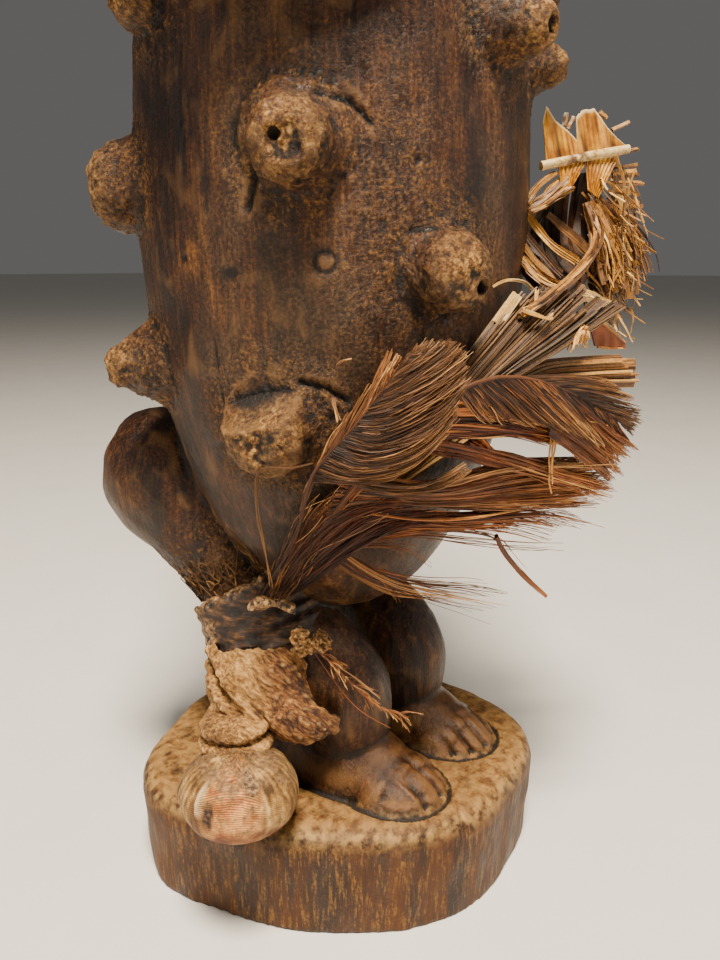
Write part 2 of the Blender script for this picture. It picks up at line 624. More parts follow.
# The base's side is left out of the ridges, because its sharp lower edge would darken it all
above_side = np.clip((places[:, 2] - 24) / 6, 0, 1)
paint_ridges(figure, 1.3 * above_side)
paint(figure, "dust", np.clip((directions[:, 2] - 0.5) * 2.4, 0, 1) * (places[:, 2] < 42)
      * (places[:, 2] > 27))
paint(figure, "side", np.clip(1.3 - 2 * np.abs(directions[:, 2]), 0, 1) * (places[:, 2] < 34))
feet = (places[:, 2] > 39.5) * np.clip((66 - places[:, 2]) / 12, 0, 1)
feet = feet * np.clip((22 - places[:, 1]) / 10, 0, 1)
paint(figure, "polish", feet * np.clip(directions[:, 2] * 1.6, 0, 1))
paint(figure, "rim", np.clip(1 - np.abs(places[:, 2] - 35.5) / 4.5, 0, 1) * (places[:, 2] < 41))


def weighed(tree, *terms):
    # Adds patterns up, each times its share
    total = None
    for pattern, share in terms:
        part = add(tree, "Math", {0: pattern, 1: share}, operation="MULTIPLY")
        total = part if total is None else add(tree, "Math", {0: total, 1: part}, operation="ADD")
    return total


def patchy(tree, name, pattern, stops):
    # A painted area, broken up by a pattern
    share = add(tree, "ValToRGB", {0: pattern}, stops=stops)
    return weighed(tree, (add(tree, "Attribute", attribute_name=name), share))


def dress(piece, material, slot, *nodes):
    # Gives a piece its material and its place in the frame
    piece.data.materials.clear()
    piece.data.materials.append(material)
    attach(piece, "root")
    if nodes:
        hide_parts(*nodes)


# Hardwood cut by adze, oiled and handled: brown-black in the hollows, a soft shine on the high places,
# fine upright grain; the pale crust, the worn boss tops and the dust stay dull
wood, tree, shader = finish("oiled dark hardwood", 0.42, Specular_IOR_Level=0.32)
ridge = add(tree, "Attribute", attribute_name="ridge")
grain = cloud(tree, 1.6, 6, (1, 1, 0.08), 0.65)
streak = cloud(tree, 7, 5, (1, 1, 0.12), 0.6)
blot = cloud(tree, 15, 6, (1, 1, 0.5), 0.65)
speck = cloud(tree, 1.0, 4, roughness=0.7)
tone = weighed(tree, (grain, 0.30), (blot, 0.26), (streak, 0.20), (speck, 0.24))
wood_colour = add(tree, "ValToRGB", {0: tone},
                  stops=[(0.40, "#0c0502"), (0.47, "#1f0e04"), (0.52, "#351b09"), (0.57, "#502f11"),
                         (0.64, "#795124")])
# A grey bloom of old oil lies over broad patches
bloom = add(tree, "ValToRGB", {0: cloud(tree, 30, 5, (1, 1, 0.6))}, stops=[(0.48, 0.0), (0.62, 0.30)])
over = add(tree, "ValToRGB", {0: speck}, stops=[(0.4, "#38291c"), (0.62, "#6c553b")])
wood_colour = add(tree, "Mix", {0: bloom, 6: wood_colour, 7: over}, data_type="RGBA")
crumbs = weighed(tree, (cloud(tree, 1.3, 5, roughness=0.7), 0.6), (cloud(tree, 8, 4), 0.4))
crust_mask = patchy(tree, "crust", crumbs, [(0.46, 0.0), (0.57, 0.8)])
crust_colour = add(tree, "ValToRGB", {0: cloud(tree, 1.0, 5, roughness=0.7)},
                   stops=[(0.38, "#221105"), (0.5, "#583614"), (0.64, "#966a2e")])
wood_colour = add(tree, "Mix", {0: crust_mask, 6: wood_colour, 7: crust_colour}, data_type="RGBA")
tip_mask = patchy(tree, "tips", cloud(tree, 5, 5, roughness=0.65), [(0.40, 0.2), (0.56, 0.95)])
tip_colour = add(tree, "ValToRGB", {0: cloud(tree, 1.6, 5, roughness=0.7)},
                 stops=[(0.38, "#391e09"), (0.48, "#7a4f20"), (0.62, "#cd9d5a")])
wood_colour = add(tree, "Mix", {0: tip_mask, 6: wood_colour, 7: tip_colour}, data_type="RGBA")
dust_mask = patchy(tree, "dust", cloud(tree, 9, 5, roughness=0.65), [(0.34, 0.60), (0.6, 0.88)])
over = add(tree, "ValToRGB", {0: cloud(tree, 2.6, 6, roughness=0.75)},
           stops=[(0.36, "#4b2e12"), (0.5, "#6d471c"), (0.66, "#9f7239")])
wood_colour = add(tree, "Mix", {0: dust_mask, 6: wood_colour, 7: over}, data_type="RGBA")
# Fine pale scratches run down the base's side
scratch = patchy(tree, "side", cloud(tree, 1.3, 5, (1, 1, 0.13), 0.7), [(0.50, 0.0), (0.62, 0.6)])
side_glow = patchy(tree, "side", streak, [(0.40, 0.10), (0.60, 0.60)])
wood_colour = add(tree, "Mix", {0: side_glow, 6: wood_colour, 7: "#56300f"}, data_type="RGBA")
over = add(tree, "ValToRGB", {0: speck}, stops=[(0.4, "#5e3a14"), (0.6, "#a0722f")])
wood_colour = add(tree, "Mix", {0: scratch, 6: wood_colour, 7: over}, data_type="RGBA")
rim_mask = patchy(tree, "rim", cloud(tree, 3.5, 4), [(0.40, 0.0), (0.6, 0.75)])
wood_colour = add(tree, "Mix", {0: rim_mask, 6: wood_colour, 7: "#b58d50"}, data_type="RGBA")
ridge_mask = add(tree, "ValToRGB", {0: ridge}, stops=[(0.62, 0.0), (0.95, 0.5)])
wood_colour = add(tree, "Mix", {0: ridge_mask, 6: wood_colour, 7: "#7d5a33"}, data_type="RGBA")
hollow_mask = add(tree, "ValToRGB", {0: ridge}, stops=[(0.10, 0.95), (0.40, 0.0)])
wood_colour = add(tree, "Mix", {0: hollow_mask, 6: wood_colour, 7: "#0d0704"}, data_type="RGBA")
polish = patchy(tree, "polish", cloud(tree, 6, 4), [(0.38, 0.1), (0.62, 0.55)])
wood_colour = add(tree, "Mix", {0: polish, 6: wood_colour, 7: "#6a431d"}, data_type="RGBA")
tree.links.new(wood_colour, shader.inputs["Base Color"])
gloss = add(tree, "ValToRGB", {0: weighed(tree, (cloud(tree, 16, 4), 0.6), (speck, 0.4))},
            stops=[(0.38, 0.30), (0.62, 0.56)])
gloss = add(tree, "Mix", {0: add(tree, "Attribute", attribute_name="polish"), 6: gloss, 7: "#979797"},
            data_type="RGBA")
matt = add(tree, "Math", {0: add(tree, "Math", {0: crust_mask, 1: dust_mask}, operation="MAXIMUM"),
                          1: add(tree, "Math", {0: tip_mask, 1: side_glow}, operation="MAXIMUM")},
           operation="MAXIMUM")
tree.links.new(add(tree, "Mix", {0: matt, 6: gloss, 7: "#e6e6e6"}, data_type="RGBA"),
               shader.inputs["Roughness"])
rough = weighed(tree, (grain, 0.5), (speck, 0.4), (crust_mask, cloud(tree, 1.3, 4)))
relief = add(tree, "Bump", {"Height": rough, "Distance": 0.8 / 1000, "Strength": 0.9})
tree.links.new(relief, shader.inputs["Normal"])
dress(figure, wood, "carved_wood", "carved_figure")


# Leg wrap band. A strip of cloth wound round the right leg under the knee and blackened with oil
# and soot. Its torn top edge carries a pale dried crust.
BAND = [(-19, 21.5, 99.5, 21), (-19.3, 18, 94, 21.6), (-19.8, 13, 85, 22), (-20.5, 9.5, 79.5, 21)]
LEG_ROOM = 0.5
BAND_LIP = [(-42.4, 2.5, 104.2), (-40.7, -1, 106.1), (-38.3, -4.6, 106.1), (-36.1, -8, 104.8),
            (-35, -10.6, 102)]
# Level directions as seen from the front right: to the right, and towards the viewer
VIEW_RIGHT = (0.5526, -0.8335)
VIEW_FRONT = (-0.8335, -0.5526)
CLOTH_VOXEL = 0.6


def cut_away(piece, voxel, *tools):
    # The piece is remeshed first, because folds that run into each other upset the cut
    modify(piece, "REMESH", mode="VOXEL", voxel_size=voxel / 1000)
    for tool in tools:
        modify(piece, "BOOLEAN", operation="DIFFERENCE", solver="EXACT", object=tool)


def drop(*pieces):
    for piece in pieces:
        bpy.data.objects.remove(piece, do_unlink=True)


def along_line(places, start, end):
    # How far each corner lies from `start` towards `end`, from 0 to 1
    start, end = np.array(start, float), np.array(end, float)
    return (places - start) @ (end - start) / ((end - start) @ (end - start))


def even_spots(line, count):
    line = np.array(line, float)
    return np.stack([np.interp(np.linspace(0, len(line) - 1, count), np.arange(len(line)), line[:, k])
                     for k in range(3)], 1)


band = join([rod(BAND, 12, 12), rod([(*p, r) for p, r in zip(BAND_LIP, (1.0, 2.1, 1.4, 2.0, 0.9))], 8, 6)])
band.name = "wound_band"
modify(band, "REMESH", mode="VOXEL", voxel_size=CLOTH_VOXEL / 1000)
modify(band, "SMOOTH", factor=0.5, iterations=8)
places, directions = corners(band), normals(band)
up = along_line(places, (-20.5, 9.5, 79.5), (-19, 21.5, 99.5))
wall = np.clip(1.4 - 1.6 * np.abs(directions @ np.array((0.064, 0.513, 0.855))), 0, 1)
turns = np.sin(up * 5 * 2 * math.pi + 1.2 * lumps(places, 22, 2.0, 2))
rim = np.exp(-((up - 1.0) / 0.10) ** 2)
moves = 0.35 * turns * wall + 0.7 * lumps(places, 9, 4.4, 3) + 0.3 * lumps(places, 2.2, 8.1, 3)
moves += rim * 1.9 * np.clip(lumps(places, 3.2, 6.6, 3) + 0.25, -0.3, 1)
moves += wall * 0.35 * np.abs(lumps(places, 3.0, 2.6, 3, (0.3, 0.3, 1)))
place_corners(band, places + directions * moves[:, None])
legs_away, body_away = leg(1, LEG_ROOM), turned(smooth_profile([(r + 0.5, z) for r, z in BODY_PROFILE]), 64)
body_away.data.transform(Matrix.Translation(mm(MID_X, BODY_Y, -0.5)))
cut_away(band, CLOTH_VOXEL, legs_away, body_away)
drop(legs_away, body_away)
places, directions = corners(band), normals(band)
up = along_line(places, (-20.5, 9.5, 79.5), (-19, 21.5, 99.5))
right = places[:, 0] * VIEW_RIGHT[0] + places[:, 1] * VIEW_RIGHT[1]
rim_crust = 0.5 * np.clip(1.25 - 7 * np.abs(up - 1.04), 0, 1)
for spot in even_spots(BAND_LIP, 9):
    rim_crust = np.maximum(rim_crust, np.clip(2.0 - np.linalg.norm(places - spot, axis=1) / 2.6, 0, 1))
left_crust = 0.7 * np.clip((-37 - right) / 2.5, 0, 1) * np.clip((95 - places[:, 2]) / 3, 0, 1)
paint(band, "crust", np.maximum(rim_crust, left_crust))
paint_ridges(band, 1.2)

# Plain-woven cloth blackened with oil and soot: dark brown with a dull gleam, pale crumbs on the rim
soot_cloth, tree, shader = finish("oil-blackened cloth", 0.62)
# Threads run round the leg, drawn 1.2 mm apart, coarser than real ones
weave = weighed(tree, (cloud(tree, 1.2, 4, (0.22, 0.22, 1), 0.7), 0.55),
                (cloud(tree, 6, 5, roughness=0.65), 0.45))
cloth_colour = add(tree, "ValToRGB", {0: weave},
                   stops=[(0.40, "#110905"), (0.49, "#2e1a0c"), (0.57, "#57391d"), (0.67, "#8e673a")])
crumb = patchy(tree, "crust", cloud(tree, 1.6, 5), [(0.42, 0.0), (0.52, 1.0)])
over = add(tree, "ValToRGB", {0: cloud(tree, 1.1, 4)}, stops=[(0.4, "#6f4b26"), (0.6, "#cda26a")])
cloth_colour = add(tree, "Mix", {0: crumb, 6: cloth_colour, 7: over}, data_type="RGBA")
share = add(tree, "ValToRGB", {0: add(tree, "Attribute", attribute_name="ridge")},
            stops=[(0.2, 0.9), (0.5, 0.0)])
cloth_colour = add(tree, "Mix", {0: share, 6: cloth_colour, 7: "#0d0805"}, data_type="RGBA")
tree.links.new(cloth_colour, shader.inputs["Base Color"])
relief = add(tree, "Bump", {"Height": weave, "Distance": 1.0 / 1000, "Strength": 1})
tree.links.new(relief, shader.inputs["Normal"])
dress(band, soot_cloth, "dark_cloth", "leg_wrap_band")


# Leg wrap cloth. A packet of cloth packed with earth and pressed against the leg, its folds stiff
# under a dry pale crust, with a twisted tail that passes over the instep.
PACKET = [(-22, 11, 79, 17), (-29, 9, 74, 19.5), (-34, 8, 71, 18.5), (-40, 7, 67.5, 14.5), (-47, 6, 64, 9)]
TAIL = [(-34, -2, 69, 11), (-36.5, -12, 67.5, 7.5), (-34.5, -19, 67, 4.8), (-30.5, -24, 66.5, 2.8)]
FOLD_WAY = (0.42, -0.63, -0.66)
# Turns the packet's places so that the third one runs along its folds
WRINKLE_TURN = np.array(Vector(FOLD_WAY).to_track_quat("Z", "Y").to_matrix())


def seam(places, line, width):
    # 1 on a crease and 0 away from it; the crease is drawn across and up as seen from the front right
    flat = np.stack([places[:, 0] * VIEW_RIGHT[0] + places[:, 1] * VIEW_RIGHT[1], places[:, 2]], 1)
    return np.exp(-(off_line(flat, np.array(line, float)) / width) ** 2)


def crumble_share(places):
    # The crust grows crumbly from left to right
    return np.clip((places[:, 0] * VIEW_RIGHT[0] + places[:, 1] * VIEW_RIGHT[1] + 27) / 9, 0, 1)


packet = join([rod(PACKET, 12, 12), rod(TAIL, 12, 10)])
packet.name = "crusted_packet"
modify(packet, "REMESH", mode="VOXEL", voxel_size=CLOTH_VOXEL / 1000)
modify(packet, "SMOOTH", factor=0.5, iterations=8)
places, directions = corners(packet), normals(packet)
front = np.clip(directions @ np.array((-0.80, -0.55, 0.2)) * 2, 0, 1)
crumbly = crumble_share(places)
clods = 2.4 * np.abs(lumps(places, 3.3, 7.2, 3)) - 0.6
moves = 0.9 * lumps(places, 13, 1.5, 2) + (0.12 + 0.40 * crumbly) * clods
moves += 0.5 * lumps(places, 1.7, 3.9, 3)
# Fine wrinkles run with the folds, down to the right
wrinkle = lumps(places @ WRINKLE_TURN, 4.4, 1.1, 3, (1, 1, 0.2))
moves += (1.3 - 0.5 * crumbly) * (2 * np.abs(wrinkle) - 0.5)
FOLDS = [([(-43.6, 82), (-34, 75), (-25, 66)], 1.2, -2.8), ([(-41, 85), (-31, 79), (-23, 71)], 2.4, 1.5),
         ([(-40, 76.5), (-33, 71.5), (-27, 66)], 2.2, 1.2), ([(-28, 77), (-22, 70), (-19, 63)], 1.0, -1.8),
         ([(-42, 88.5), (-32, 90), (-20, 91)], 1.1, -1.4), ([(-41, 93), (-30, 94), (-18, 94)], 1.1, -1.2)]
for line, width, height in FOLDS:
    moves += height * front * seam(places, line, width)
place_corners(packet, places + directions * moves[:, None])
band_away = rod([(x, y, z, r + 0.9) for x, y, z, r in BAND], 10, 8)
legs_away = leg(1, LEG_ROOM)
cut_away(packet, CLOTH_VOXEL, legs_away, band_away)
drop(legs_away, band_away)
modify(packet, "REMESH", mode="VOXEL", voxel_size=0.55 / 1000)
modify(packet, "SMOOTH", factor=0.5, iterations=1)
places, directions = corners(packet), normals(packet)
paint_ridges(packet, 1.1)
paint(packet, "crumbly", crumble_share(places))

# Cloth soaked in earth and oil and dried hard: a quite dull pale crust, dark in every crease
crusted, tree, shader = finish("cloth stiff with dried crust", 0.88)
ridge = add(tree, "Attribute", attribute_name="ridge")
crumbs = weighed(tree, (cloud(tree, 1.0, 5, (1, 1, 0.3), 0.7, FOLD_WAY), 0.6),
                 (cloud(tree, 6, 5, (1, 1, 0.35), 0.65, FOLD_WAY), 0.4))
pale = add(tree, "ValToRGB", {0: crumbs}, stops=[(0.37, "#38210d"), (0.45, "#6f4a21"), (0.53, "#a3773b"),
        (0.64, "#d9ae6e")])
brown = add(tree, "ValToRGB", {0: crumbs}, stops=[(0.38, "#140803"), (0.46, "#40220c"), (0.53, "#70451b"),
        (0.64, "#b27d40")])
crust_cloth = add(tree, "Mix", {0: add(tree, "Attribute", attribute_name="crumbly"), 6: pale, 7: brown},
                  data_type="RGBA")
share = add(tree, "ValToRGB", {0: ridge}, stops=[(0.10, 0.95), (0.38, 0.0)])
crust_cloth = add(tree, "Mix", {0: share, 6: crust_cloth, 7: "#1a0f08"}, data_type="RGBA")
share = add(tree, "ValToRGB", {0: ridge}, stops=[(0.58, 0.0), (0.95, 0.6)])
crust_cloth = add(tree, "Mix", {0: share, 6: crust_cloth, 7: "#dbb377"}, data_type="RGBA")
tree.links.new(crust_cloth, shader.inputs["Base Color"])
relief = add(tree, "Bump", {"Height": crumbs, "Distance": 1.6 / 1000, "Strength": 1})
tree.links.new(relief, shader.inputs["Normal"])
dress(packet, crusted, "crusted_cloth", "leg_wrap_cloth")


# Charm binding. Two turns of thick cord, flattened and glued together by the same crust, that tie
# the packet's end to the ball under it.
binding = join([ball((-49.3, 3.8, 67.2), (11.4, 11.4, 3.4)), ball((-50, 3.0, 62.2), (12.0, 12.0, 3.4))])
binding.name = "cord_binding"
modify(binding, "REMESH", mode="VOXEL", voxel_size=0.5 / 1000)
modify(binding, "SMOOTH", factor=0.5, iterations=2)
places, directions = corners(binding), normals(binding)
moves = 0.5 * lumps(places, 6, 2.2, 2) + 0.35 * lumps(places, 1.9, 6.1, 3)
place_corners(binding, places + directions * moves[:, None])
places, directions = corners(binding), normals(binding)
paint_ridges(binding, 1.0)
paint(binding, "crumbly", np.full(len(places), 0.15))
dress(binding, crusted, "crusted_cloth", "charm_binding")


# Charm ball. A little bag of finely ribbed pink cloth between striped selvedges, stuffed hard and
# gathered under the binding; it is stained, torn at the left and pressed flat where it rests on the
# base.
BALL_MIDDLE = (-57, -4, 50.5)
BALL_SIZE = (18.4, 18.4, 13.4)
BASE_CLEAR = 0.9
RIB_PITCH = 0.55
charm = ball(BALL_MIDDLE, BALL_SIZE, sides=144, rings=96)
charm.name = "ribbed_bag"
places, directions = corners(charm), normals(charm)
local = places - np.array(BALL_MIDDLE)
turn = np.arctan2(local @ np.array((*VIEW_RIGHT, 0)), local @ np.array((*VIEW_FRONT, 0)))
height = np.clip(local[:, 2] / BALL_SIZE[2], -1, 1)
gather = np.clip((height - 0.45) / 0.5, 0, 1)
pleats = gather ** 2 * 0.55 * np.sin(13 * turn + 4 * lumps(places, 14, 3.3, 2))
moves = pleats + 0.7 * lumps(places, 12, 5.1, 2)
degrees, ragged = np.degrees(turn), 3 * lumps(places, 4, 2.4, 2)
torn = np.clip(2.4 - 2.2 * np.hypot((degrees + 25 + ragged) / 8, (local[:, 2] - 1.2) / 5.5), 0, 1)
lip = np.clip(2.2 - 2.2 * np.hypot((degrees + 36 + ragged) / 4, (local[:, 2] - 5.6) / 5), 0, 1)
patch = np.clip(2.4 - 2.2 * np.hypot((degrees - 24 + ragged) / 12, (local[:, 2] - 9.8) / 3.2), 0, 1)
daub = patch * (0.4 + 1.3 * np.abs(lumps(places, 2.4, 7.7, 3)))
moves += -1.2 * torn + 0.9 * lip + daub + 0.1 * lumps(places, 2.2, 7.7, 2)
places = places + directions * moves[:, None]


def base_reach(places):
    # How far inside the base's outline each corner lies, in mm
    outline = np.array(smooth_curve([(*BASE_OUTLINE[-1], 0), *[(*p, 0) for p in BASE_OUTLINE],
                                     (*BASE_OUTLINE[0], 0)], 12))[12:-12, :2]
    turns_round = np.arctan2(outline[:, 1], outline[:, 0])
    order = np.argsort(turns_round)
    edge = np.interp(np.arctan2(places[:, 1], places[:, 0]), turns_round[order],
                     np.hypot(*outline.T)[order], period=2 * math.pi)
    return edge - np.hypot(places[:, 0], places[:, 1])


inside = base_reach(places)
shoulder = np.clip(inside, 0, BASE_SHOULDER)
rounding = np.clip(BASE_SHOULDER ** 2 - (BASE_SHOULDER - shoulder) ** 2, 0, None)
floor_z = BASE_HEIGHT - BASE_SHOULDER + np.sqrt(rounding)
floor_z = np.where(inside > 0, floor_z + BASE_CLEAR, -100)
places[:, 2] = np.maximum(places[:, 2], floor_z)
place_corners(charm, places)
pick(charm)
bpy.ops.object.shade_smooth()
paint(charm, "turn", np.degrees(turn))
paint(charm, "rise", local[:, 2])
paint(charm, "torn", torn)
paint(charm, "lip", 0.85 * lip)
paint(charm, "patch", patch)

# Finely ribbed cotton: close ribs catch the light in the pink ground, striped selvedges at the sides
pink_cloth, tree, shader = finish("ribbed pink cloth with selvedge stripes", 0.7)
turn_node, rise_node = (add(tree, "Attribute", attribute_name=name) for name in ("turn", "rise"))
# Fine ribs 0.55 mm apart, as on the real cloth, bowed by the stretch over the filling
sag = weighed(tree, (weighed(tree, (turn_node, turn_node)), 0.0022))
waver = weighed(tree, (cloud(tree, 5, 3), 1.2))
rib = weighed(tree, (rise_node, 1), (sag, 1), (waver, 1))
rib = add(tree, "Math", {0: weighed(tree, (rib, 2 * math.pi / RIB_PITCH))}, operation="SINE")
rib = weighed(tree, (rib, 0.5), (0.5, 1))
ground = add(tree, "ValToRGB", {0: weighed(tree, (rib, 0.16), (cloud(tree, 6, 5, roughness=0.65), 0.9))},
             stops=[(0.36, "#7a3f14"), (0.5, "#b06a29"), (0.66, "#dca15a")])
fine_line = add(tree, "Math", {0: weighed(tree, (turn_node, 0.75))}, operation="SINE")
stripes = add(tree, "ValToRGB",
              {0: weighed(tree, (fine_line, 0.05), (cloud(tree, 5, 5, (1, 1, 0.3), 0.65), 1))},
              stops=[(0.36, "#47300f"), (0.46, "#7b5626"), (0.55, "#a37a3d"), (0.66, "#cba362")])
away = add(tree, "Math", {0: turn_node}, operation="ABSOLUTE")
side_share = add(tree, "ValToRGB",
                 {0: weighed(tree, (weighed(tree, (away, 1), (cloud(tree, 8, 3), 14)), 0.01))},
                 stops=[(0.31, 0.0), (0.43, 1.0)])
bag = add(tree, "Mix", {0: side_share, 6: ground, 7: stripes}, data_type="RGBA")
stain = add(tree, "ValToRGB", {0: weighed(tree, (rise_node, 0.035), (cloud(tree, 6, 5), 1))},
            stops=[(0.12, 0.95), (0.50, 0.0)])
bag = add(tree, "Mix", {0: stain, 6: bag, 7: "#67300f"}, data_type="RGBA")
soil = add(tree, "ValToRGB",
           {0: weighed(tree, (rise_node, 0.014), (cloud(tree, 5, 5, roughness=0.65), 1))},
           stops=[(0.60, 0.0), (0.69, 0.9)])
over = add(tree, "ValToRGB", {0: cloud(tree, 1.3, 4)}, stops=[(0.35, "#4a3220"), (0.65, "#9a7548")])
bag = add(tree, "Mix", {0: soil, 6: bag, 7: over}, data_type="RGBA")
grime = add(tree, "ValToRGB", {0: cloud(tree, 2.4, 5, roughness=0.7)}, stops=[(0.48, 0.0), (0.64, 0.6)])
bag = add(tree, "Mix", {0: grime, 6: bag, 7: "#5a3815"}, data_type="RGBA")
over = add(tree, "ValToRGB", {0: cloud(tree, 1.4, 3)}, stops=[(0.4, "#24150c"), (0.6, "#664528")])
bag = add(tree, "Mix", {0: add(tree, "Attribute", attribute_name="torn"), 6: bag, 7: over},
          data_type="RGBA")
over = add(tree, "ValToRGB", {0: cloud(tree, 1.2, 4)}, stops=[(0.4, "#3f2a18"), (0.6, "#97744a")])
bag = add(tree, "Mix", {0: add(tree, "Attribute", attribute_name="patch"), 6: bag, 7: over},
          data_type="RGBA")
bag = add(tree, "Mix", {0: add(tree, "Attribute", attribute_name="lip"), 6: bag, 7: "#d6b68a"},
          data_type="RGBA")
tree.links.new(bag, shader.inputs["Base Color"])
relief = add(tree, "Bump", {"Height": weighed(tree, (rib, 0.4), (cloud(tree, 1.5, 4), 1)),
                            "Distance": 0.35 / 1000, "Strength": 1})
tree.links.new(relief, shader.inputs["Normal"])
dress(charm, pink_cloth, "striped_cloth", "charm_ball")


# Wrap knot. The knot that ties the fan to the leg: lumps of resin and earth over twisted fibre,
# pitted with small holes.
knot = join([ball((-34.6, -11.2, 94.2), (2.8, 3.0, 3.6)), ball((-30.4, -16.2, 92.8), (3.3, 3.0, 3.2)),
             ball((-32.4, -13.6, 91.6), (2.4, 2.4, 2.0)), ball((-33.4, -10.5, 90), (2.3, 2.6, 2.3))])
knot.name = "crusted_knot"
modify(knot, "REMESH", mode="VOXEL", voxel_size=0.35 / 1000)
modify(knot, "SMOOTH", factor=0.5, iterations=2)
places, directions = corners(knot), normals(knot)
moves = 0.9 * np.abs(lumps(places, 3.4, 4.2, 3)) - 0.2 + 0.7 * lumps(places, 1.4, 1.7, 3)
moves -= 1.6 * np.clip(4 * lumps(places, 2.4, 8.3, 1) - 1.2, 0, 1)
place_corners(knot, places + directions * moves[:, None])
places, directions = corners(knot), normals(knot)
paint_ridges(knot, 1.1)
paint(knot, "crumbly", np.full(len(places), 0.55))
dress(knot, crusted, "crusted_cloth", "wrap_knot")


# Front feather. A brown feather with its tip trimmed blunt: a pale quill, long hairy barbs swept to
# the right of it, a narrow fringe on the left and loose down at its root. Each barb is a thin flat
# strand. Cross-sections of a strand, in halves of its width and thickness
FLAT = ((-1, -1), (1, -1), (1, 1), (-1, 1))
PLEAT = ((-1, 1), (-0.5, 0.1), (0, 1.2), (0.5, 0.1), (1, 1),
         (1, -0.6), (0.5, -1.5), (0, -0.4), (-0.5, -1.5), (-1, -0.6))


def polyline(points, count):
    # Points spaced evenly along straight pieces, corners kept sharp
    points = np.array(points, float)
    run = np.r_[0, np.cumsum(np.linalg.norm(np.diff(points, axis=0), axis=1))]
    return np.stack([np.interp(np.linspace(0, run[-1], count), run, points[:, k]) for k in range(3)], 1)


def even(guide, count):
    # Points spaced evenly along a smooth line through the guide's points
    return polyline(smooth_curve(guide, 8), count)


def fibres(guides, count, width, thick, seed, points=14, ragged=0.12, start=0.0, lock=0.5, locks=0,
           wander=0.6, puff=0.5, taper=0.35, roll=0.5, red=0.0, tone=(0, 1), spread=0.0, section=FLAT):
    # Strands laid over the patch of surface between guide lines, or in a bundle round a single one
    rng = np.random.default_rng(seed)
    fine = points * 3
    lines = np.array([even(guide, fine) for guide in guides])
    if len(lines) > 1:
        ends = np.concatenate([2 * lines[:1] - lines[1:2], lines, 2 * lines[-1:] - lines[-2:-1]])
        sheet = [between(*four, t) for four in zip(ends, ends[1:], ends[2:], ends[3:])
                 for t in (0, 0.2, 0.4, 0.6, 0.8)]
        sheet = np.array([*sheet, lines[-1]])
    else:
        sheet = np.array([lines[0], lines[0]])
    last = len(sheet) - 1
    u = (np.arange(count) + rng.uniform(0, 1, count)) / count
    locks = locks or max(1, count // 9)
    lock_of = np.minimum((u * locks).astype(int), locks - 1)
    middle = (np.floor(u * locks) + 0.5 + rng.uniform(-0.3, 0.3, locks)[lock_of]) / locks
    first = start * rng.uniform(0, 1, count)
    reach = 1 - ragged * rng.uniform(0, 1, count) ** 1.5 - 0.6 * ragged * rng.uniform(0, 1, locks)[lock_of]
    t = first[:, None] + (reach - first)[:, None] * np.linspace(0, 1, points)[None, :]
    across = np.clip(u[:, None] + (middle - u)[:, None] * lock * t ** 1.6, 0, 1) * last
    low = np.clip(across.astype(int), 0, last - 1)
    mix = (across - low)[:, :, None]
    along = t * (fine - 1)
    step = np.clip(along.astype(int), 0, fine - 2)
    part = (along - step)[:, :, None]
    here = (sheet[low, step] * (1 - part) + sheet[low, step + 1] * part) * (1 - mix)
    here = here + (sheet[low + 1, step] * (1 - part) + sheet[low + 1, step + 1] * part) * mix
    tangent = np.gradient(here, axis=1)
    tangent /= np.linalg.norm(tangent, axis=2, keepdims=True) + 1e-9
    side = sheet[-1].mean(0) - sheet[0].mean(0)
    if np.linalg.norm(side) < 1e-3:
        side = np.array((0.3, 0.2, 1.0))
    side = np.broadcast_to(side, tangent.shape) - tangent * (tangent @ side)[:, :, None]
    side /= np.linalg.norm(side, axis=2, keepdims=True) + 1e-9
    up = np.cross(tangent, side)
    grow = np.clip(t, 0, 1)[:, :, None]
    phase, pitch = rng.uniform(0, 6.28, (count, 1, 1)), rng.uniform(2, 5, (count, 1, 1))
    lock_puff = rng.normal(0, 1, locks)[lock_of][:, None, None]
    sway = side * wander * grow * np.sin(phase + pitch * grow * 2)
    here = here + sway * rng.uniform(0.2, 1, (count, 1, 1))
    here = here + up * puff * grow * (0.6 * rng.normal(0, 1, (count, 1, 1)) + 0.6 * lock_puff)
    here = here + up * puff * 0.3 * np.sin(phase * 1.7 + pitch * grow * 3)
    if spread:
        ring, far = rng.uniform(0, 6.28, (count, 1, 1)), np.sqrt(rng.uniform(0, 1, (count, 1, 1))) * spread
        here = here + (side * np.cos(ring) + up * np.sin(ring)) * far * (0.35 + 0.65 * grow)
    turn = rng.normal(0, roll, (count, 1, 1))
    flat = side * np.cos(turn) + up * np.sin(turn)
    deep = np.cross(tangent, flat)
    slim = (1 - (1 - taper) * np.linspace(0, 1, points) ** 2)[None, :, None]
    half = 0.5 * width * rng.uniform(0.7, 1.3, (count, 1, 1)) * slim
    body = 0.5 * thick * rng.uniform(0.8, 1.2, (count, 1, 1)) * (0.4 + 0.6 * slim)
    shape = np.array(section, float)
    rings = here[:, :, None, :] + flat[:, :, None, :] * half[:, :, None] * shape[None, None, :, 0:1]
    rings = rings + deep[:, :, None, :] * body[:, :, None] * shape[None, None, :, 1:2]
    corner = len(shape)
    tint = rng.uniform(0, 1, count) * 0.6 + rng.uniform(0, 1, locks)[lock_of] * 0.4
    tint = tone[0] + (tone[1] - tone[0]) * tint
    full = (count, points, corner)
    facts = {"tint": tint[:, None, None], "along": t[:, :, None], "red": float(red),
             "side": shape[None, None, :, 0]}
    return {"rings": rings, **{name: np.broadcast_to(value, full) for name, value in facts.items()}}


